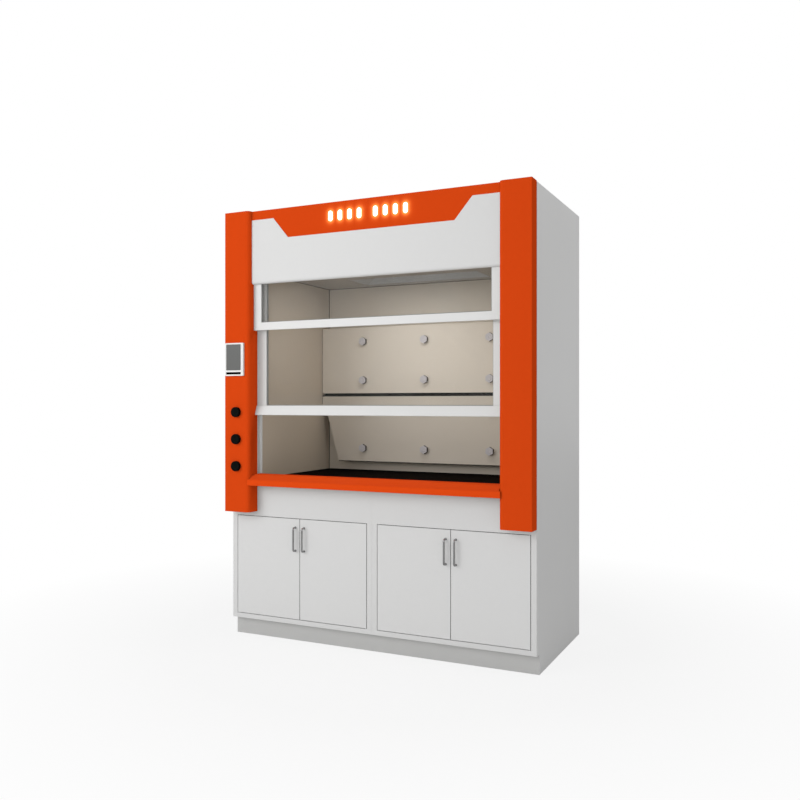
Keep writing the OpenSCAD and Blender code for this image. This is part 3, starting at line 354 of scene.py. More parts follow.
def zinc_steel():
    """Zinc-plated steel with a drawn grain and faint spangle."""
    material, t, shader = principled("zinc steel", Metallic=0.9)
    cells = t.texture("ShaderNodeTexVoronoi", {"Scale": 60.0})
    t.join(t.mix_colour(cells.outputs["Color"], (0.50, 0.51, 0.53), (0.63, 0.64, 0.65)),
           shader.inputs["Base Color"])
    noise = grain_bump(t, shader, size=300.0, strength=0.15, distance=0.0003, stretch=(1, 1, 0.08))
    patchy_roughness(t, shader, noise.outputs[0], 0.32, 0.48)
    return material


def clear_glass():
    """Toughened pane: clear, faintly green, with a light film of smears."""
    material, t, shader = principled("pane glass", Base_Color=(0.44, 0.45, 0.42), IOR=1.5)
    smear = t.texture("ShaderNodeTexNoise", {"Scale": 3.0, "Detail": 5.0, "Distortion": 1.5})
    t.join(t.spread(smear.outputs[0], (0.4, 0.75), (0.03, 0.14)), shader.inputs["Roughness"])
    t.join(t.spread(smear.outputs[0], (0.35, 0.8), (0.02, 0.05)), shader.inputs["Alpha"])
    return material


def lining_board(name, colour):
    """Beige lining board: matt, slightly speckled."""
    material, t, shader = principled(name, Specular_IOR_Level=0.0)
    mottle = use_group(t, MOTTLE, Colour=colour, Broad_size=1.0, Fine_size=220.0, Amount=0.10)
    t.join(mottle.outputs["Colour"], shader.inputs["Base Color"])
    patchy_roughness(t, shader, mottle.outputs["Mask"], 0.5, 0.66)
    grain_bump(t, shader, size=700.0, strength=0.15, distance=0.0003)
    return material


def black_worktop():
    """Black worktop: satin, with fine grey speckle."""
    material, t, shader = principled("black worktop", Specular_IOR_Level=0.0)
    speck = t.texture("ShaderNodeTexNoise", {"Scale": 900.0, "Detail": 1.0})
    edge = use_group(t, SOFT_EDGE, Mask_gain=2.0)
    dots = t.mix_colour(t.spread(speck.outputs[0], (0.62, 0.75), FULL), (0.009, 0.007, 0.006),
                        (0.05, 0.045, 0.04))
    wear = t.math("MULTIPLY", edge.outputs["Mask"], 0.5)
    t.join(t.mix_colour(wear, dots, (0.10, 0.10, 0.10)), shader.inputs["Base Color"])
    noise = grain_bump(t, shader, size=40.0, strength=0.08, distance=0.0005, normal=edge.outputs["Normal"])
    patchy_roughness(t, shader, noise.outputs[0], 0.22, 0.36)
    return material


def plastic(name, colour, roughness, gloss=0.2):
    """Moulded plastic with a fine spark-eroded grain."""
    material, t, shader = principled(name, Specular_IOR_Level=gloss)
    mottle = use_group(t, MOTTLE, Colour=colour, Broad_size=8.0, Fine_size=200.0, Amount=0.08)
    edge = use_group(t, SOFT_EDGE, Mask_gain=1.0)
    t.join(mottle.outputs["Colour"], shader.inputs["Base Color"])
    patchy_roughness(t, shader, mottle.outputs["Mask"], roughness - 0.05, roughness + 0.05)
    grain_bump(t, shader, size=400.0, strength=0.12, distance=0.0003, normal=edge.outputs["Normal"])
    return material


def fixing_plastic():
    """Lilac-grey faced fixings whose sides are dark with painted shade."""
    material, t, shader = principled("fixing plastic", Specular_IOR_Level=0.1)
    normal = t.parts(t.add("ShaderNodeNewGeometry").outputs["Normal"])
    # Front faces lilac grey, the sides in painted shade
    front = t.spread(normal["Y"], (-0.9, -0.6), (1.0, 0.0))
    mottle = use_group(t, MOTTLE, Broad_size=12.0, Fine_size=200.0, Amount=0.08)
    t.join(t.mix_colour(front, FIXING_SIDE_SHADE, LILAC_GREY), mottle.inputs["Colour"])
    t.join(mottle.outputs["Colour"], shader.inputs["Base Color"])
    patchy_roughness(t, shader, mottle.outputs["Mask"], 0.38, 0.5)
    grain_bump(t, shader, size=400.0, strength=0.1, distance=0.0003)
    return material


def brushed_chrome():
    """Door handles: dull chrome, brushed along their length."""
    material, t, shader = principled("brushed chrome", Metallic=1.0)
    mottle = use_group(t, MOTTLE, Colour=(0.30, 0.30, 0.30), Broad_size=20.0, Fine_size=300.0, Amount=0.06)
    t.join(mottle.outputs["Colour"], shader.inputs["Base Color"])
    noise = grain_bump(t, shader, size=500.0, strength=0.08, distance=0.0002, stretch=(1, 1, 0.05))
    patchy_roughness(t, shader, noise.outputs[0], 0.18, 0.30)
    return material


def valve_brass():
    """Cast brass, a little tarnished."""
    material, t, shader = principled("valve brass", Metallic=1.0)
    mottle = use_group(t, MOTTLE, Colour=(0.66, 0.46, 0.20), Broad_size=15.0, Fine_size=150.0, Amount=0.3)
    t.join(mottle.outputs["Colour"], shader.inputs["Base Color"])
    patchy_roughness(t, shader, mottle.outputs["Mask"], 0.25, 0.45)
    grain_bump(t, shader, size=250.0, strength=0.1, distance=0.0002)
    return material


def lit_plastic():
    """Opal plastic lit from behind, slightly uneven."""
    material, t, shader = principled("lit plastic", Base_Color=(0.9, 0.88, 0.84), Roughness=0.35,
                                     Emission_Strength=BAR_GLOW)
    mottle = use_group(t, MOTTLE, Colour=(1.0, 0.95, 0.88), Broad_size=12.0, Fine_size=90.0, Amount=0.05)
    t.join(mottle.outputs["Colour"], shader.inputs["Emission Color"])
    return material


def light_panel():
    """Orange paint of the header's strip, lit warm round the bright bars that stand on it."""
    material = orange_paint("orange powder coat, lit")
    t = Tree(material.node_tree)
    shader = material.node_tree.nodes["Principled BSDF"]
    place = t.parts(t.add("ShaderNodeTexCoord").outputs["Object"])
    low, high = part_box("header_light_bars")
    step = t.math("SUBTRACT", t.math("ABSOLUTE", place["X"]), BAR_FIRST)
    index = t.math("ROUND", t.math("DIVIDE", step, BAR_PITCH))
    index = t.math("MINIMUM", t.math("MAXIMUM", index, 0.0), BAR_COUNT - 1)
    side = t.math("ABSOLUTE", t.math("SUBTRACT", step, t.math("MULTIPLY", index, BAR_PITCH)))
    rise = t.math("ABSOLUTE", t.math("SUBTRACT", place["Z"], (low.z + high.z) / 2))
    straight = (high.z - low.z) / 2 - BAR_HALF
    rise = t.math("MAXIMUM", t.math("SUBTRACT", rise, straight), 0.0)
    reach = t.math("SQRT", t.math("ADD", t.math("MULTIPLY", side, side), t.math("MULTIPLY", rise, rise)))
    away = t.math("MAXIMUM", t.math("SUBTRACT", reach, BAR_HALF), 0.0)
    near = t.math("EXPONENT", t.math("MULTIPLY", away, -1 / GLOW_REACH))
    glow = t.mix_colour(near, GLOW_FAR, GLOW_NEAR)
    t.join(t.mix_colour(near, (0, 0, 0), glow), shader.inputs["Emission Color"])
    t.feed(shader.inputs["Emission Strength"], PANEL_GLOW)
    return material


def display_glass():
    """Grey display pane over a black strip, with fingermarks in the pane's gloss."""
    material, t, shader = principled("display face", Specular_IOR_Level=0.0, Coat_Roughness=0.08)
    place = t.parts(t.add("ShaderNodeTexCoord").outputs["Object"])
    low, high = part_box("display_screen")
    strip_top = low.z + STRIP_HEIGHT
    pane = t.spread(place["Z"], (strip_top, strip_top + STRIP_EDGE), FULL)
    screen = t.mix_colour(t.spread(place["Z"], (low.z, high.z), FULL), SCREEN_LOW, SCREEN_HIGH)
    t.join(t.mix_colour(pane, STRIP_BLACK, screen), shader.inputs["Base Color"])
    t.join(t.spread(pane, FULL, (0.0, 0.12)), shader.inputs["Coat Weight"])
    smear = t.texture("ShaderNodeTexNoise", {"Scale": 30.0, "Detail": 4.0})
    t.join(t.spread(smear.outputs[0], (0.4, 0.7), (0.12, 0.3)), shader.inputs["Roughness"])
    return material


def opal_lens():
    """Ribbed opal lens of the chamber lamp."""
    material, t, shader = principled("opal lens", Specular_IOR_Level=0.0)
    mottle = use_group(t, MOTTLE, Colour=(0.60, 0.55, 0.47), Broad_size=3.0, Fine_size=120.0, Amount=0.06)
    t.join(mottle.outputs["Colour"], shader.inputs["Base Color"])
    ribs = t.texture("ShaderNodeTexWave", {"Scale": 60.0}, wave_type="BANDS", bands_direction="Y")
    bump = t.add("ShaderNodeBump", {"Strength": 0.3, "Distance": 0.001})
    t.join(ribs.outputs[0], bump.inputs["Height"])
    t.join(bump.outputs[0], shader.inputs["Normal"])
    patchy_roughness(t, shader, mottle.outputs["Mask"], 0.35, 0.5)
    return material


def rubber(name, colour):
    """Matt rubber or sealant, faintly dusty."""
    material, t, shader = principled(name, Specular_IOR_Level=0.05)
    mottle = use_group(t, MOTTLE, Colour=colour, Broad_size=10.0, Fine_size=250.0, Amount=0.3)
    dust = use_group(t, DUST, Amount=0.15)
    t.join(mottle.outputs["Colour"], dust.inputs["Colour"])
    t.join(dust.outputs[0], shader.inputs["Base Color"])
    patchy_roughness(t, shader, mottle.outputs["Mask"], 0.6, 0.75)
    grain_bump(t, shader, size=800.0, strength=0.2, distance=0.0002)
    return material


FINISHES = {
    "white_paint": paint("white powder coat", WHITE, WHITE_WORN),
    "grey_paint": paint("grey powder coat", GREY, GREY_WORN),
    "orange_paint": orange_paint(),
    "white_aluminium": coated_aluminium(),
    "zinc_steel": zinc_steel(),
    "glass": clear_glass(),
    "liner_board": lining_board("lining board", LINING_BEIGE),
    "pale_plastic": plastic("pale plastic", (0.72, 0.72, 0.71), 0.42),
    "lit_plastic": lit_plastic(),
    "black_top": black_worktop(),
    "display_glass": display_glass(),
    "brass": valve_brass(),
    "black_plastic": plastic("black plastic", (0.003, 0.004, 0.0035), 0.42, gloss=0.03),
    "chrome": brushed_chrome(),
}
RUBBER = rubber("black rubber", (0.014, 0.013, 0.012))
PALE_RUBBER = rubber("pale glazing rubber", (0.34, 0.34, 0.33))
SEALANT = rubber("brown sealant", (0.105, 0.088, 0.066))
CAP_PLASTIC = plastic("lilac grey plastic", LILAC_GREY, 0.4)


def dress(node, material):
    """Give a CAD node its finish."""
    mesh = nodes[node].data
    mesh.materials.clear()
    mesh.materials.append(material)


def dress_cad_nodes():
    """The finish of each CAD node's slot, and the nodes that have a finish of their own."""
    for part in frame["record"]["subparts"]:
        dress(part["node"], FINISHES[part["material_slot"]])
    dress("header_light_panel", light_panel())
    dress("lamp_lens", opal_lens())
    dress("display_bezel", plastic("white bezel plastic", (0.94, 0.94, 0.93), 0.4))
    dress("baffle_fixings", fixing_plastic())
    # The sill gets a lighter copy of the orange coat: painted light
    dress("air_sill", orange_paint("orange powder coat of the sill", SILL_ORANGE_LIT))
    # These boards get their own copies of the lining board: lighter on the baffles and the back, painted
    # light, and darker on the ceiling, painted shade
    for board, colour in BOARD_LIT_AND_SHADED.items():
        dress(board, lining_board(board + " board", colour))
    # The doors' paint has the lighter white, painted light, and dark grey edges, painted shade in the gaps
    # between the doors
    door_paint = paint("white powder coat, grey painted edge shade", DOOR_WHITE_LIT, WHITE_WORN, strip=EDGE_SHADE_GREY)
    for spot in DOOR_SPOTS:
        dress("door_" + spot, door_paint)


dress_cad_nodes()

# Modelling helpers
# Two places closer than this are the same
NEAR = 0.1 * MM
# A point this close to a height belongs to it
SAME_LEVEL = 0.5 * MM
# A normal or an edge follows an axis where its part along it is larger than this
FACING = 0.9
ROUND_STEPS = 2
SMOOTH_ANGLE = 35
# Turns that stand a piece from the origin on a face to the front, back, right or left
TO_FRONT = (math.radians(90), 0, 0)
TO_BACK = (math.radians(-90), 0, 0)
TO_RIGHT = (0, math.radians(90), 0)
TO_LEFT = (0, math.radians(-90), 0)


def only(piece):
    """Make one piece the whole selection, and the active object."""
    bpy.ops.object.select_all(action="DESELECT")
    piece.select_set(True)
    bpy.context.view_layer.objects.active = piece


def added(name):
    """The object that the last operator added, named and with its place in its mesh."""
    piece = bpy.context.object
    piece.name = name
    piece.data.name = name
    only(piece)
    bpy.ops.object.transform_apply(location=True, rotation=True, scale=True)
    return piece


def block(name, low, high):
    """Start of a piece: a box between two corners."""
    middle = (Vector(low) + Vector(high)) / 2
    bpy.ops.object.select_all(action="DESELECT")
    bpy.ops.mesh.primitive_cube_add(size=1, location=middle, scale=Vector(high) - Vector(low))
    return added(name)


def disc(name, radius, height, sides):
    """Start of a piece: a round bar that stands on the origin."""
    bpy.ops.object.select_all(action="DESELECT")
    bpy.ops.mesh.primitive_cylinder_add(vertices=sides, radius=radius, depth=height,
                                        location=(0, 0, height / 2))
    return added(name)


def plate(name, middle, width, depth, turn=(0, 0, 0)):
    """Start of a piece: a flat plate without thickness, lying unless it is turned."""
    bpy.ops.object.select_all(action="DESELECT")
    bpy.ops.mesh.primitive_plane_add(size=1, location=middle, rotation=turn)
    bpy.context.object.scale = (width, depth, 1)
    return added(name)


def open_mesh(piece, kind="FACE"):
    """Edit mode on the piece with nothing selected."""
    only(piece)
    bpy.ops.object.mode_set(mode="EDIT")
    bpy.ops.mesh.select_mode(type=kind)
    bpy.ops.mesh.select_all(action="DESELECT")


def close_mesh():
    """Back to object mode, with every face turned outwards."""
    bpy.ops.mesh.select_all(action="SELECT")
    bpy.ops.mesh.normals_make_consistent(inside=False)
    bpy.ops.object.mode_set(mode="OBJECT")


def extrude(way):
    """Extrude what is selected by a distance along each axis."""
    bpy.ops.mesh.extrude_region_move(TRANSFORM_OT_translate={"value": way})


def pick_faces(piece, wanted):
    """Select the faces whose middle and normal are wanted."""
    mesh = bmesh.from_edit_mesh(piece.data)
    for face in mesh.faces:
        face.select_set(bool(wanted(face.calc_center_median(), face.normal)))
    mesh.select_flush_mode()
    bmesh.update_edit_mesh(piece.data)


def pick_edges(piece, wanted):
    """Select the edges whose middle and run are wanted."""
    mesh = bmesh.from_edit_mesh(piece.data)
    for edge in mesh.edges:
        a, b = (vertex.co for vertex in edge.verts)
        edge.select_set(bool(wanted((a + b) / 2, (b - a).normalized())))
    bmesh.update_edit_mesh(piece.data)


def round_edges(piece, width):
    """Bevel modifier, applied."""
    only(piece)
    bevel = piece.modifiers.new("rounding", "BEVEL")
    bevel.width = width
    bevel.segments = ROUND_STEPS
    bevel.limit_method = "ANGLE"
    bpy.ops.object.modifier_apply(modifier=bevel.name)


def thicken(piece, wall, offset):
    """Solidify modifier, applied; offset 0 keeps the sheet in the wall's middle, 1 on its inside."""
    only(piece)
    solid = piece.modifiers.new("wall", "SOLIDIFY")
    solid.thickness = wall
    solid.offset = offset
    bpy.ops.object.modifier_apply(modifier=solid.name)


def turned(name, radius, height, insets, rounding, sides=16):
    """Small round piece: a disc whose top is inset step by step, with rounded edges."""
    piece = disc(name, radius, height, sides)
    open_mesh(piece)
    pick_faces(piece, lambda place, normal: normal.z > FACING)
    for thickness, depth in insets:
        bpy.ops.mesh.inset(thickness=thickness, depth=depth)
    close_mesh()
    round_edges(piece, rounding)
    return piece


def frame_bar(piece, width, push, rounding):
    """Turn a plate into a frame of that width, pushed out to a bar with rounded edges."""
    open_mesh(piece)
    bpy.ops.mesh.select_all(action="SELECT")
    bpy.ops.mesh.inset(thickness=width)
    bpy.ops.mesh.delete(type="FACE")
    bpy.ops.mesh.select_all(action="SELECT")
    extrude(push)
    close_mesh()
    round_edges(piece, rounding)


def copy_of(model):
    """Copy of a piece, with its own mesh."""
    copy = model.copy()
    copy.data = model.data.copy()
    bpy.context.scene.collection.objects.link(copy)
    return copy


def repeat(model, name, places, turn=(0, 0, 0)):
    """One piece made of a copy of the model at each place; the model is used up."""
    copies = []
    for place in places:
        copy = copy_of(model)
        copy.location = place
        copy.rotation_euler = turn
        copies.append(copy)
    bpy.data.objects.remove(model)
    bpy.context.view_layer.update()
    bpy.ops.object.select_all(action="DESELECT")
    for copy in copies:
        copy.select_set(True)
    bpy.context.view_layer.objects.active = copies[0]
    bpy.ops.object.join()
    return added(name)


def finish(piece, slot, material=None):
    """Smooth shading and finish of a modelled piece: the slot's finish, unless a material is given."""
    only(piece)
    bpy.ops.object.shade_smooth_by_angle(angle=math.radians(SMOOTH_ANGLE))
    piece.data.materials.clear()
    piece.data.materials.append(material or FINISHES[slot])


def fit(piece, body, slot, material=None):
    """Finish a modelled piece and let it ride on its body."""
    finish(piece, slot, material)
    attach(piece, body)


# Glazing beads, sealant and gasket
PANE_IN = 9.9 * MM
BEAD_WIDTH = 3.5 * MM
BEAD_HEIGHT = 3.2 * MM
BEAD_ROUND = 1.0 * MM
SEAL = 3.2 * MM
SEAL_CUT = 0.8 * SEAL
GASKET_OUT = 5 * MM
GASKET_IN = 3 * MM
GASKET_DOWN = 2.5 * MM
GASKET_ROUND = 0.7 * MM


def glazing_bead(name, glass, body, outward):
    """Rubber bead round a pane's clear opening, on its front (outward -1) or its back (1)."""
    low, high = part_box(glass)
    face = low.y if outward < 0 else high.y
    bead = plate(name, (0, face, (low.z + high.z) / 2), high.x - low.x - 2 * PANE_IN,
                 high.z - low.z - 2 * PANE_IN, TO_FRONT)
    frame_bar(bead, BEAD_WIDTH, (0, outward * BEAD_HEIGHT, 0), BEAD_ROUND)
    fit(bead, body, "black_plastic", PALE_RUBBER)


def corner_seal(name, low, high, room):
    """Bead of sealant in a corner: a thin bar whose edge towards the room is cut away."""
    seal = block(name, low, high)
    run = max(range(3), key=lambda axis: high[axis] - low[axis])
    across = [axis for axis in range(3) if axis != run]
    target = [high[axis] if room[axis] > 0 else low[axis] for axis in range(3)]
    open_mesh(seal, "EDGE")
    pick_edges(seal, lambda place, way: abs(way[run]) > FACING
               and all(abs(place[axis] - target[axis]) < NEAR for axis in across))
    bpy.ops.mesh.bevel(offset=SEAL_CUT, segments=3, profile=0.2, affect="EDGES")
    close_mesh()
    fit(seal, "casing", "black_plastic", SEALANT)


def chamber_seals():
    """Dark sealed joints where the chamber's lining boards meet."""
    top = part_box("ceiling")[0].z
    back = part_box("liner_back")[0].y
    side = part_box("liner_right")[0].x
    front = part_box("liner_right")[0].y
    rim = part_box("worktop")[1].z
    for sign, word in ((-1, "left"), (1, "right")):
        x_low, x_high = sorted((sign * side, sign * (side - SEAL)))
        corner_seal("corner_seal_" + word, (x_low, back - SEAL, rim), (x_high, back, top - SEAL),
                    (-sign, -1, 0))
        corner_seal("ceiling_seal_" + word, (x_low, front, top - SEAL), (x_high, back, top),
                    (-sign, 0, -1))
    corner_seal("ceiling_seal_back", (SEAL - side, back - SEAL, top - SEAL), (side - SEAL, back, top),
                (0, -1, -1))


def lens_gasket():
    """Dark gasket round the chamber lamp's lens, under the ceiling."""
    low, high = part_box("lamp_lens")
    middle = ((low.x + high.x) / 2, (low.y + high.y) / 2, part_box("ceiling")[0].z)
    gasket = plate("lens_gasket", middle, high.x - low.x + 2 * GASKET_OUT, high.y - low.y + 2 * GASKET_OUT)
    frame_bar(gasket, GASKET_OUT + GASKET_IN, (0, 0, -GASKET_DOWN), GASKET_ROUND)
    fit(gasket, "casing", "black_plastic", RUBBER)


# Trim of the baffles, and black pieces that paint shade in the slot and under the lower baffle
FIXING_X = (-418 * MM, 0, 418 * MM)
FIXING_Z = (1047 * MM, 1289 * MM, 1471 * MM, 1713 * MM)
CAP_RADIUS = 12 * MM
CAP_HEIGHT = 1.6 * MM
CAP_INSETS = ((2 * MM, 0), (3 * MM, 0), (2.5 * MM, -1.2 * MM))
CAP_ROUND = 0.5 * MM
SLOT_EDGING_HEIGHT = 7 * MM
SLOT_EDGING_UP = 0.4 * MM
SLOT_EDGING_PROUD = 0.8 * MM
FOOT_EDGING_HEIGHT = 4 * MM
FOOT_EDGING_IN = 1.2 * MM
EASE_WIDTH = 1.2 * MM
EASE_DEPTH = 0.5 * MM
GUIDE_GAP = 1 * MM
GUIDE_HEIGHT = 28 * MM
GUIDE_DOWN = 22 * MM
GUIDE_SHORT = 10 * MM
GUIDE_BACK = 16 * MM
GUIDE_UP = 34 * MM
GUIDE_SHEET = 1.5 * MM
GUIDE_ROUND = 0.4 * MM


def fixing_caps():
    """Round cap with a dimple in the middle of each baffle fixing's head."""
    cap = turned("fixing_cap", CAP_RADIUS, CAP_HEIGHT, CAP_INSETS, CAP_ROUND, sides=32)
    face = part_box("baffle_fixings")[0].y
    places = [(x, face, z) for x in FIXING_X for z in FIXING_Z]
    fit(repeat(cap, "fixing_caps", places, TO_FRONT), "casing", "pale_plastic", CAP_PLASTIC)


def half_width(node, height):
    """Half the width of a board at a height, from its own mesh."""
    points = (vertex.co for vertex in nodes[node].data.vertices)
    return max(point.x for point in points if abs(point.z - height) < SAME_LEVEL)


def shade_edging(name, half, low_z, high_z, front, back):
    """Black edge strip of a board, with its long edges eased; its black is painted shade."""
    strip = block(name, (-half, front, low_z), (half, back, high_z))
    open_mesh(strip)
    pick_faces(strip, lambda place, normal: normal.y < -FACING)
    bpy.ops.mesh.inset(thickness=EASE_WIDTH)
    bpy.ops.transform.translate(value=(0, -EASE_DEPTH, 0))
    close_mesh()
    fit(strip, "casing", "black_plastic", RUBBER)


def slot_shade_guide(half, back, top):
    """Black folded sheet behind the slot between the baffles, shaped as an air guide: painted shade in the
    slot.
    """
    guide = plate("slot_shade_guide", (0, back + GUIDE_GAP, top - GUIDE_DOWN), 2 * half - GUIDE_SHORT,
                  GUIDE_HEIGHT, TO_FRONT)
    open_mesh(guide, "EDGE")
    pick_edges(guide, lambda place, way: abs(way.x) > FACING and place.z > top - GUIDE_DOWN)
    extrude((0, GUIDE_BACK, 0))
    extrude((0, 0, GUIDE_UP))
    close_mesh()
    thicken(guide, GUIDE_SHEET, 0)
    round_edges(guide, GUIDE_ROUND)
    fit(guide, "casing", "black_plastic", RUBBER)


def baffle_shade_edgings():
    """Black strips at the lower baffle's top and foot, and the black guide behind the slot above it: painted
    shade in the slot and under the baffle.
    """
    low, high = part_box("baffle_lower")
    half = half_width("baffle_lower", high.z)
    shade_edging("slot_shade_edging", half, high.z - SLOT_EDGING_HEIGHT, high.z + SLOT_EDGING_UP,
           low.y - SLOT_EDGING_PROUD, high.y + SLOT_EDGING_PROUD)
    shade_edging("foot_shade_edging", half_width("baffle_lower", low.z), low.z - FOOT_EDGING_HEIGHT, low.z,
           low.y + FOOT_EDGING_IN, high.y)
    slot_shade_guide(half, high.y, high.z)


# Cables
STRANDS = 6
STRAND_VALLEY = 0.78
CABLE_STEPS = 30
STEP_TWIST = 24


def wire_cable(name, bottom, top, radius):
    """Twisted wire cable between two points of an upright run."""
    bpy.ops.object.select_all(action="DESELECT")
    bpy.ops.mesh.primitive_circle_add(vertices=2 * STRANDS, radius=radius, fill_type="NGON", location=bottom)
    cable = added(name)
    open_mesh(cable, "VERT")
    mesh = bmesh.from_edit_mesh(cable.data)
    for index, vertex in enumerate(mesh.verts):
        vertex.select_set(index % 2 == 1)
    bmesh.update_edit_mesh(cable.data)
    bpy.ops.transform.resize(value=(STRAND_VALLEY, STRAND_VALLEY, 1), center_override=bottom)
    bpy.ops.mesh.select_mode(type="FACE")
    bpy.ops.mesh.select_all(action="SELECT")
    rise = (top[2] - bottom[2]) / CABLE_STEPS
    for _ in range(CABLE_STEPS):
        extrude((0, 0, rise))
        bpy.ops.transform.rotate(value=math.radians(STEP_TWIST), orient_axis="Z", center_override=bottom)
    close_mesh()
    return cable


def sash_and_weight_cables():
    """Twisted cable runs of the sash and its counterweights, in place of the CAD's plain cables."""
    low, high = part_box("sash_cables")
    weight_low, weight_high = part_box("weight_cables")
    radius = (high.y - low.y) / 2
    y = (low.y + high.y) / 2
    for sign, side in ((-1, "left"), (1, "right")):
        runs = (("sash", "sash", high.x, low.z, high.z),
                ("weight", side + "_counterweight", weight_high.x, weight_low.z, weight_high.z))
        for word, body, outer, foot, head in runs:
            x = sign * (outer - radius)
            cable = wire_cable(f"{side}_{word}_cable", (x, y, foot), (x, y, head), radius)
            finish(cable, "zinc_steel")
            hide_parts(word + "_cables")
            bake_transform(cable)


# Screws, rivets and grommets
SCREW_RADIUS = 5 * MM
SCREW_HEIGHT = 2.6 * MM
HANDLE_SCREW_RADIUS = 4 * MM
HANDLE_SCREW_HEIGHT = 2.4 * MM
HANDLE_HOLES = 128 * MM
SCREW_SIDES = 18
# Shares of a screw head's height or radius
DOME = 0.75
SOCKET_RIM = 0.12
SOCKET_TAPER = 0.1
SOCKET_DEPTH = 0.4
SCREW_EDGE = 14 * MM
BACK_ROWS = 7
BACK_ROW_FIRST = 60 * MM
BACK_ROW_LAST = 40 * MM
BACK_SCREW_X = 430 * MM
TOP_ROWS = 4
TOP_ROW_IN = 18 * MM
TOP_SCREW_X = 440 * MM
GROMMET_X = (440 * MM, 540 * MM, 640 * MM)
GROMMET_Z = 520 * MM
GROMMET_RADIUS = 24 * MM
GROMMET_HEIGHT = 5 * MM
GROMMET_INSETS = ((6 * MM, 0), (1.5 * MM, -3.5 * MM), (9 * MM, 0), (1 * MM, 1.5 * MM))
GROMMET_ROUND = 0.8 * MM
RIVET_COUNT = 8
RIVET_IN = 10 * MM
RIVET_RADIUS = 4 * MM
RIVET_HEIGHT = 1.6 * MM
RIVET_INSETS = ((1.6 * MM, 0), (0.8 * MM, -0.8 * MM))
RIVET_ROUND = 0.4 * MM
FLANGE = 2 * MM


def pan_screw(radius=SCREW_RADIUS, height=SCREW_HEIGHT):
    """Pan-head screw on the origin: a domed head with a socket."""
    top = height - NEAR
    screw = disc("screw", radius, height, SCREW_SIDES)
    open_mesh(screw, "EDGE")
    pick_edges(screw, lambda place, way: place.z > top)
    bpy.ops.mesh.bevel(offset=DOME * height, segments=3, affect="EDGES")
    bpy.ops.mesh.select_mode(type="FACE")
    pick_faces(screw, lambda place, normal: normal.z > FACING and place.z > top and place.xy.length < NEAR)
    bpy.ops.mesh.inset(thickness=SOCKET_RIM * radius)
    bpy.ops.mesh.inset(thickness=SOCKET_TAPER * radius, depth=-SOCKET_DEPTH * height)
    close_mesh()
    return screw


def even(first, last, count):
    """Evenly spaced places from the first to the last."""
    return [first + step * (last - first) / (count - 1) for step in range(count)]


def panel_screws():
    """Screws that hold the back and top panels."""
    low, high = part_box("back_panel")
    rows = even(low.z + BACK_ROW_FIRST, high.z - BACK_ROW_LAST, BACK_ROWS)
    places = [(side * (high.x - SCREW_EDGE), high.y, z) for side in (-1, 1) for z in rows]
    places += [(x, high.y, z) for x in (-BACK_SCREW_X, 0, BACK_SCREW_X) for z in (rows[0], rows[-1])]
    fit(repeat(pan_screw(), "back_screws", places, TO_BACK), "casing", "zinc_steel")
    low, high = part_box("top_panel")
    rows = even(low.y + TOP_ROW_IN, high.y - TOP_ROW_IN, TOP_ROWS)
    places = [(side * (high.x - SCREW_EDGE), y, high.z) for side in (-1, 1) for y in rows]
    places += [(x, y, high.z) for x in (-TOP_SCREW_X, 0, TOP_SCREW_X) for y in (rows[0], rows[-1])]
    fit(repeat(pan_screw(), "top_screws", places), "casing", "zinc_steel")


def service_grommets():
    """Rubber grommets low on the back panel, where the services come in."""
    grommet = turned("grommet", GROMMET_RADIUS, GROMMET_HEIGHT, GROMMET_INSETS, GROMMET_ROUND, sides=40)
    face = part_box("back_panel")[1].y
    places = [(x, face, GROMMET_Z) for x in GROMMET_X]
    fit(repeat(grommet, "service_grommets", places, TO_BACK), "casing", "black_plastic", RUBBER)


def collar_rivets():
    """Blind rivets round the collar's flange."""
    rivet = turned("rivet", RIVET_RADIUS, RIVET_HEIGHT, RIVET_INSETS, RIVET_ROUND)
    low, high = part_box("exhaust_collar")
    middle = (low + high) / 2
    ring = (high.x - low.x) / 2 - RIVET_IN
    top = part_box("top_panel")[1].z + FLANGE
    turns = [step * math.tau / RIVET_COUNT for step in range(RIVET_COUNT)]
    places = [(middle.x + ring * math.cos(turn), middle.y + ring * math.sin(turn), top) for turn in turns]
    fit(repeat(rivet, "collar_rivets", places), "casing", "zinc_steel")


def handle_screws(spot):
    """The two screws on a door's inner face that hold its handle."""
    handle = "handle_" + spot
    low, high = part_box(handle)
    middle = (low + high) / 2
    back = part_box("door_" + spot)[1].y
    places = [(middle.x, back, middle.z + side * HANDLE_HOLES / 2) for side in (-1, 1)]
    screw = pan_screw(HANDLE_SCREW_RADIUS, HANDLE_SCREW_HEIGHT)
    fit(repeat(screw, "screws_" + handle, places, TO_BACK), spot + "_door", "zinc_steel")


# Small parts of the cabinets and feet
BUMPER_RADIUS = 4 * MM
BUMPER_HEIGHT = 1.4 * MM
BUMPER_INSETS = ((1.2 * MM, 0),)
BUMPER_ROUND = 0.5 * MM
DOOR_GAP = 1.6 * MM
BUMPER_IN = 40 * MM
BUMPER_Z_IN = 2.5 * MM
PEG_RADIUS = 3 * MM
PEG_LENGTH = 9 * MM
PEG_INSETS = ((0.8 * MM, 0),)
PEG_ROUND = 0.5 * MM
PEG_IN = 60 * MM
OUTER_WALL_GAP = 0.3 * MM
INNER_WALL = 1.65 * MM
RIM_RADIUS = 25.2 * MM
RIM_LIFT = 0.2 * MM
RIM_HEIGHT = 3.6 * MM
RIM_WALL = 1.6 * MM
RIM_ROUND = 0.4 * MM
FOOT_IN = 25 * MM


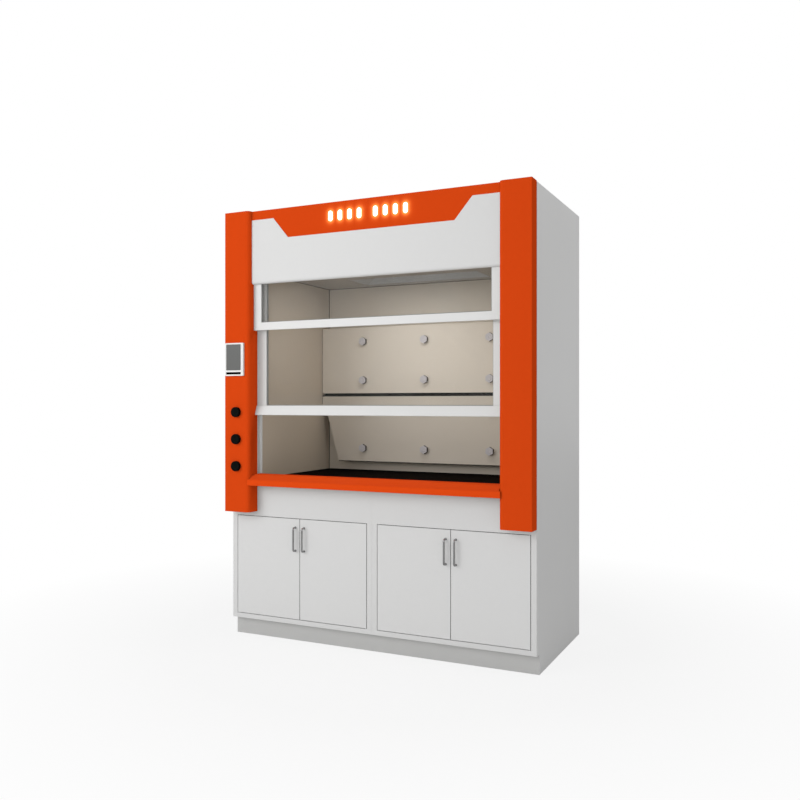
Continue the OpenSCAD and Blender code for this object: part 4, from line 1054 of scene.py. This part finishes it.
def door_bumpers():
    """Small rubber bumpers on the stops that the doors close against."""
    bumper = turned("bumper", BUMPER_RADIUS, BUMPER_HEIGHT, BUMPER_INSETS, BUMPER_ROUND)
    places = []
    for spot in DOOR_SPOTS:
        low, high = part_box("door_" + spot)
        places += [(x, high.y + DOOR_GAP, z) for x in (low.x + BUMPER_IN, high.x - BUMPER_IN)
                   for z in (low.z + BUMPER_Z_IN, high.z - BUMPER_Z_IN)]
    fit(repeat(bumper, "door_bumpers", places, TO_FRONT), "casing", "black_plastic", RUBBER)


def shelf_clips():
    """Pegs in the cabinets' sides that carry the shelves."""
    peg = turned("peg", PEG_RADIUS, PEG_LENGTH, PEG_INSETS, PEG_ROUND)
    low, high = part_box("shelves")
    facing_right, facing_left = [], []
    for y in (low.y + PEG_IN, high.y - PEG_IN):
        z = low.z - PEG_RADIUS
        facing_right += [(INNER_WALL, y, z), (-high.x - OUTER_WALL_GAP, y, z)]
        facing_left += [(-INNER_WALL, y, z), (high.x + OUTER_WALL_GAP, y, z)]
    other = copy_of(peg)
    fit(repeat(peg, "shelf_clips_a", facing_right, TO_RIGHT), "casing", "zinc_steel")
    fit(repeat(other, "shelf_clips_b", facing_left, TO_LEFT), "casing", "zinc_steel")


def foot_rims():
    """Rubber rim round each leveling foot's disc."""
    bpy.ops.object.select_all(action="DESELECT")
    bpy.ops.mesh.primitive_circle_add(vertices=36, radius=RIM_RADIUS, location=(0, 0, RIM_LIFT))
    rim = added("foot_rim")
    open_mesh(rim, "EDGE")
    bpy.ops.mesh.select_all(action="SELECT")
    extrude((0, 0, RIM_HEIGHT))
    close_mesh()
    thicken(rim, RIM_WALL, 1)
    round_edges(rim, RIM_ROUND)
    low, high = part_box("leveling_feet")
    places = [(x, y, 0) for x in (low.x + FOOT_IN, 0, high.x - FOOT_IN)
              for y in (low.y + FOOT_IN, 0, high.y - FOOT_IN)]
    fit(repeat(rim, "foot_rims", places), "casing", "black_plastic", RUBBER)


for pane, carrier in (("window", "casing"), ("sash", "sash")):
    glazing_bead(pane + "_bead_front", pane + "_glass", carrier, -1)
    glazing_bead(pane + "_bead_back", pane + "_glass", carrier, 1)
chamber_seals()
fixing_caps()
baffle_shade_edgings()
lens_gasket()
sash_and_weight_cables()
panel_screws()
service_grommets()
collar_rivets()
for door_spot in DOOR_SPOTS:
    handle_screws(door_spot)
door_bumpers()
shelf_clips()
foot_rims()

# Floor, lamps and world
FLOOR_SIZE = 40
FLOOR_Z = -0.0005
FADE_FROM = 1.3
FADE_TO = 3.0
FLOOR_NEAR = (0.84, 0.84, 0.84)
FLOOR_FAR = (0.88, 0.88, 0.88)
FLOOR_GLOW = (0.82, 1.0)
WORLD_LIGHT = 0.452
CHAMBER_LAMP_DOWN = 4 * MM
CHAMBER_LAMP_POWER = 2.7


def make_floor():
    """Pale floor that keeps the shadow near the hood and fades into the white background."""
    bpy.ops.mesh.primitive_plane_add(size=FLOOR_SIZE, location=(0, 0, FLOOR_Z))
    floor = bpy.context.object
    floor.name = "floor"
    material, t, shader = principled("pale floor", Roughness=0.9, Specular_IOR_Level=0.0)
    place = t.add("ShaderNodeTexCoord")
    distance = t.add("ShaderNodeVectorMath", operation="LENGTH")
    t.join(place.outputs["Object"], distance.inputs[0])
    fade = t.spread(distance.outputs["Value"], (FADE_FROM, FADE_TO), FULL)
    t.join(t.mix_colour(fade, FLOOR_NEAR, FLOOR_FAR), shader.inputs["Base Color"])
    glow = t.add("ShaderNodeEmission", {"Strength": 1.0})
    light = t.add("ShaderNodeLightPath")
    white = t.spread(fade, FULL, FLOOR_GLOW)
    mix = t.add("ShaderNodeMixShader")
    t.join(t.math("MULTIPLY", white, light.outputs["Is Camera Ray"]), mix.inputs[0])
    t.join(shader.outputs[0], mix.inputs[1])
    t.join(glow.outputs[0], mix.inputs[2])
    t.join(mix.outputs[0], t.tree.nodes["Material Output"].inputs["Surface"])
    floor.data.materials.append(material)


def make_world():
    """White background for the eye and for gloss; a softer even light for the rest."""
    world = bpy.data.worlds.new("studio")
    bpy.context.scene.world = world
    world.use_nodes = True
    t = Tree(world.node_tree)
    background = world.node_tree.nodes["Background"]
    path = t.add("ShaderNodeLightPath")
    seen = t.math("MAXIMUM", path.outputs["Is Camera Ray"], path.outputs["Is Transmission Ray"])
    seen = t.math("MAXIMUM", seen, path.outputs["Is Glossy Ray"])
    t.feed(background.inputs["Color"], (1, 1, 1))
    t.join(t.spread(seen, FULL, (WORLD_LIGHT, 1.0)), background.inputs["Strength"])


def add_lamp(name, place, aim, size, power):
    """Soft rectangular lamp that points from its place at its aim."""
    bpy.ops.object.light_add(type="AREA", location=place)
    lamp = bpy.context.object
    lamp.name = name
    lamp.data.shape = "RECTANGLE"
    lamp.data.size, lamp.data.size_y = size
    lamp.data.energy = power
    lamp.rotation_euler = (Vector(aim) - Vector(place)).to_track_quat("-Z", "Y").to_euler()
    return lamp


def make_studio_lamps():
    """Two lamps from the front and one from the top."""
    add_lamp("front left lamp", place=(-3.2, -5.2, 3.0), aim=(0, 0, 1.1), size=(3.5, 3.0), power=111)
    add_lamp("front lamp", place=(1.3, -6.4, 1.8), aim=(0.2, 0, 0.9), size=(4.0, 3.0), power=38)
    add_lamp("top lamp", place=(0.5, 0.5, 5.5), aim=(0, 0, 1.0), size=(4.0, 4.0), power=46)


def make_chamber_lamp():
    """The hood's own lamp: a soft light just under its lens."""
    low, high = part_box("lamp_lens")
    middle = (low + high) / 2
    place = (middle.x, middle.y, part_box("ceiling")[0].z - CHAMBER_LAMP_DOWN)
    lamp = add_lamp("chamber lamp", place, (middle.x, middle.y, 0), (high.x - low.x, high.y - low.y),
                    CHAMBER_LAMP_POWER)
    lamp.visible_camera = False
    lamp.visible_glossy = False


make_floor()
make_world()
make_studio_lamps()
make_chamber_lamp()

bpy.context.scene.view_settings.view_transform = "Standard"
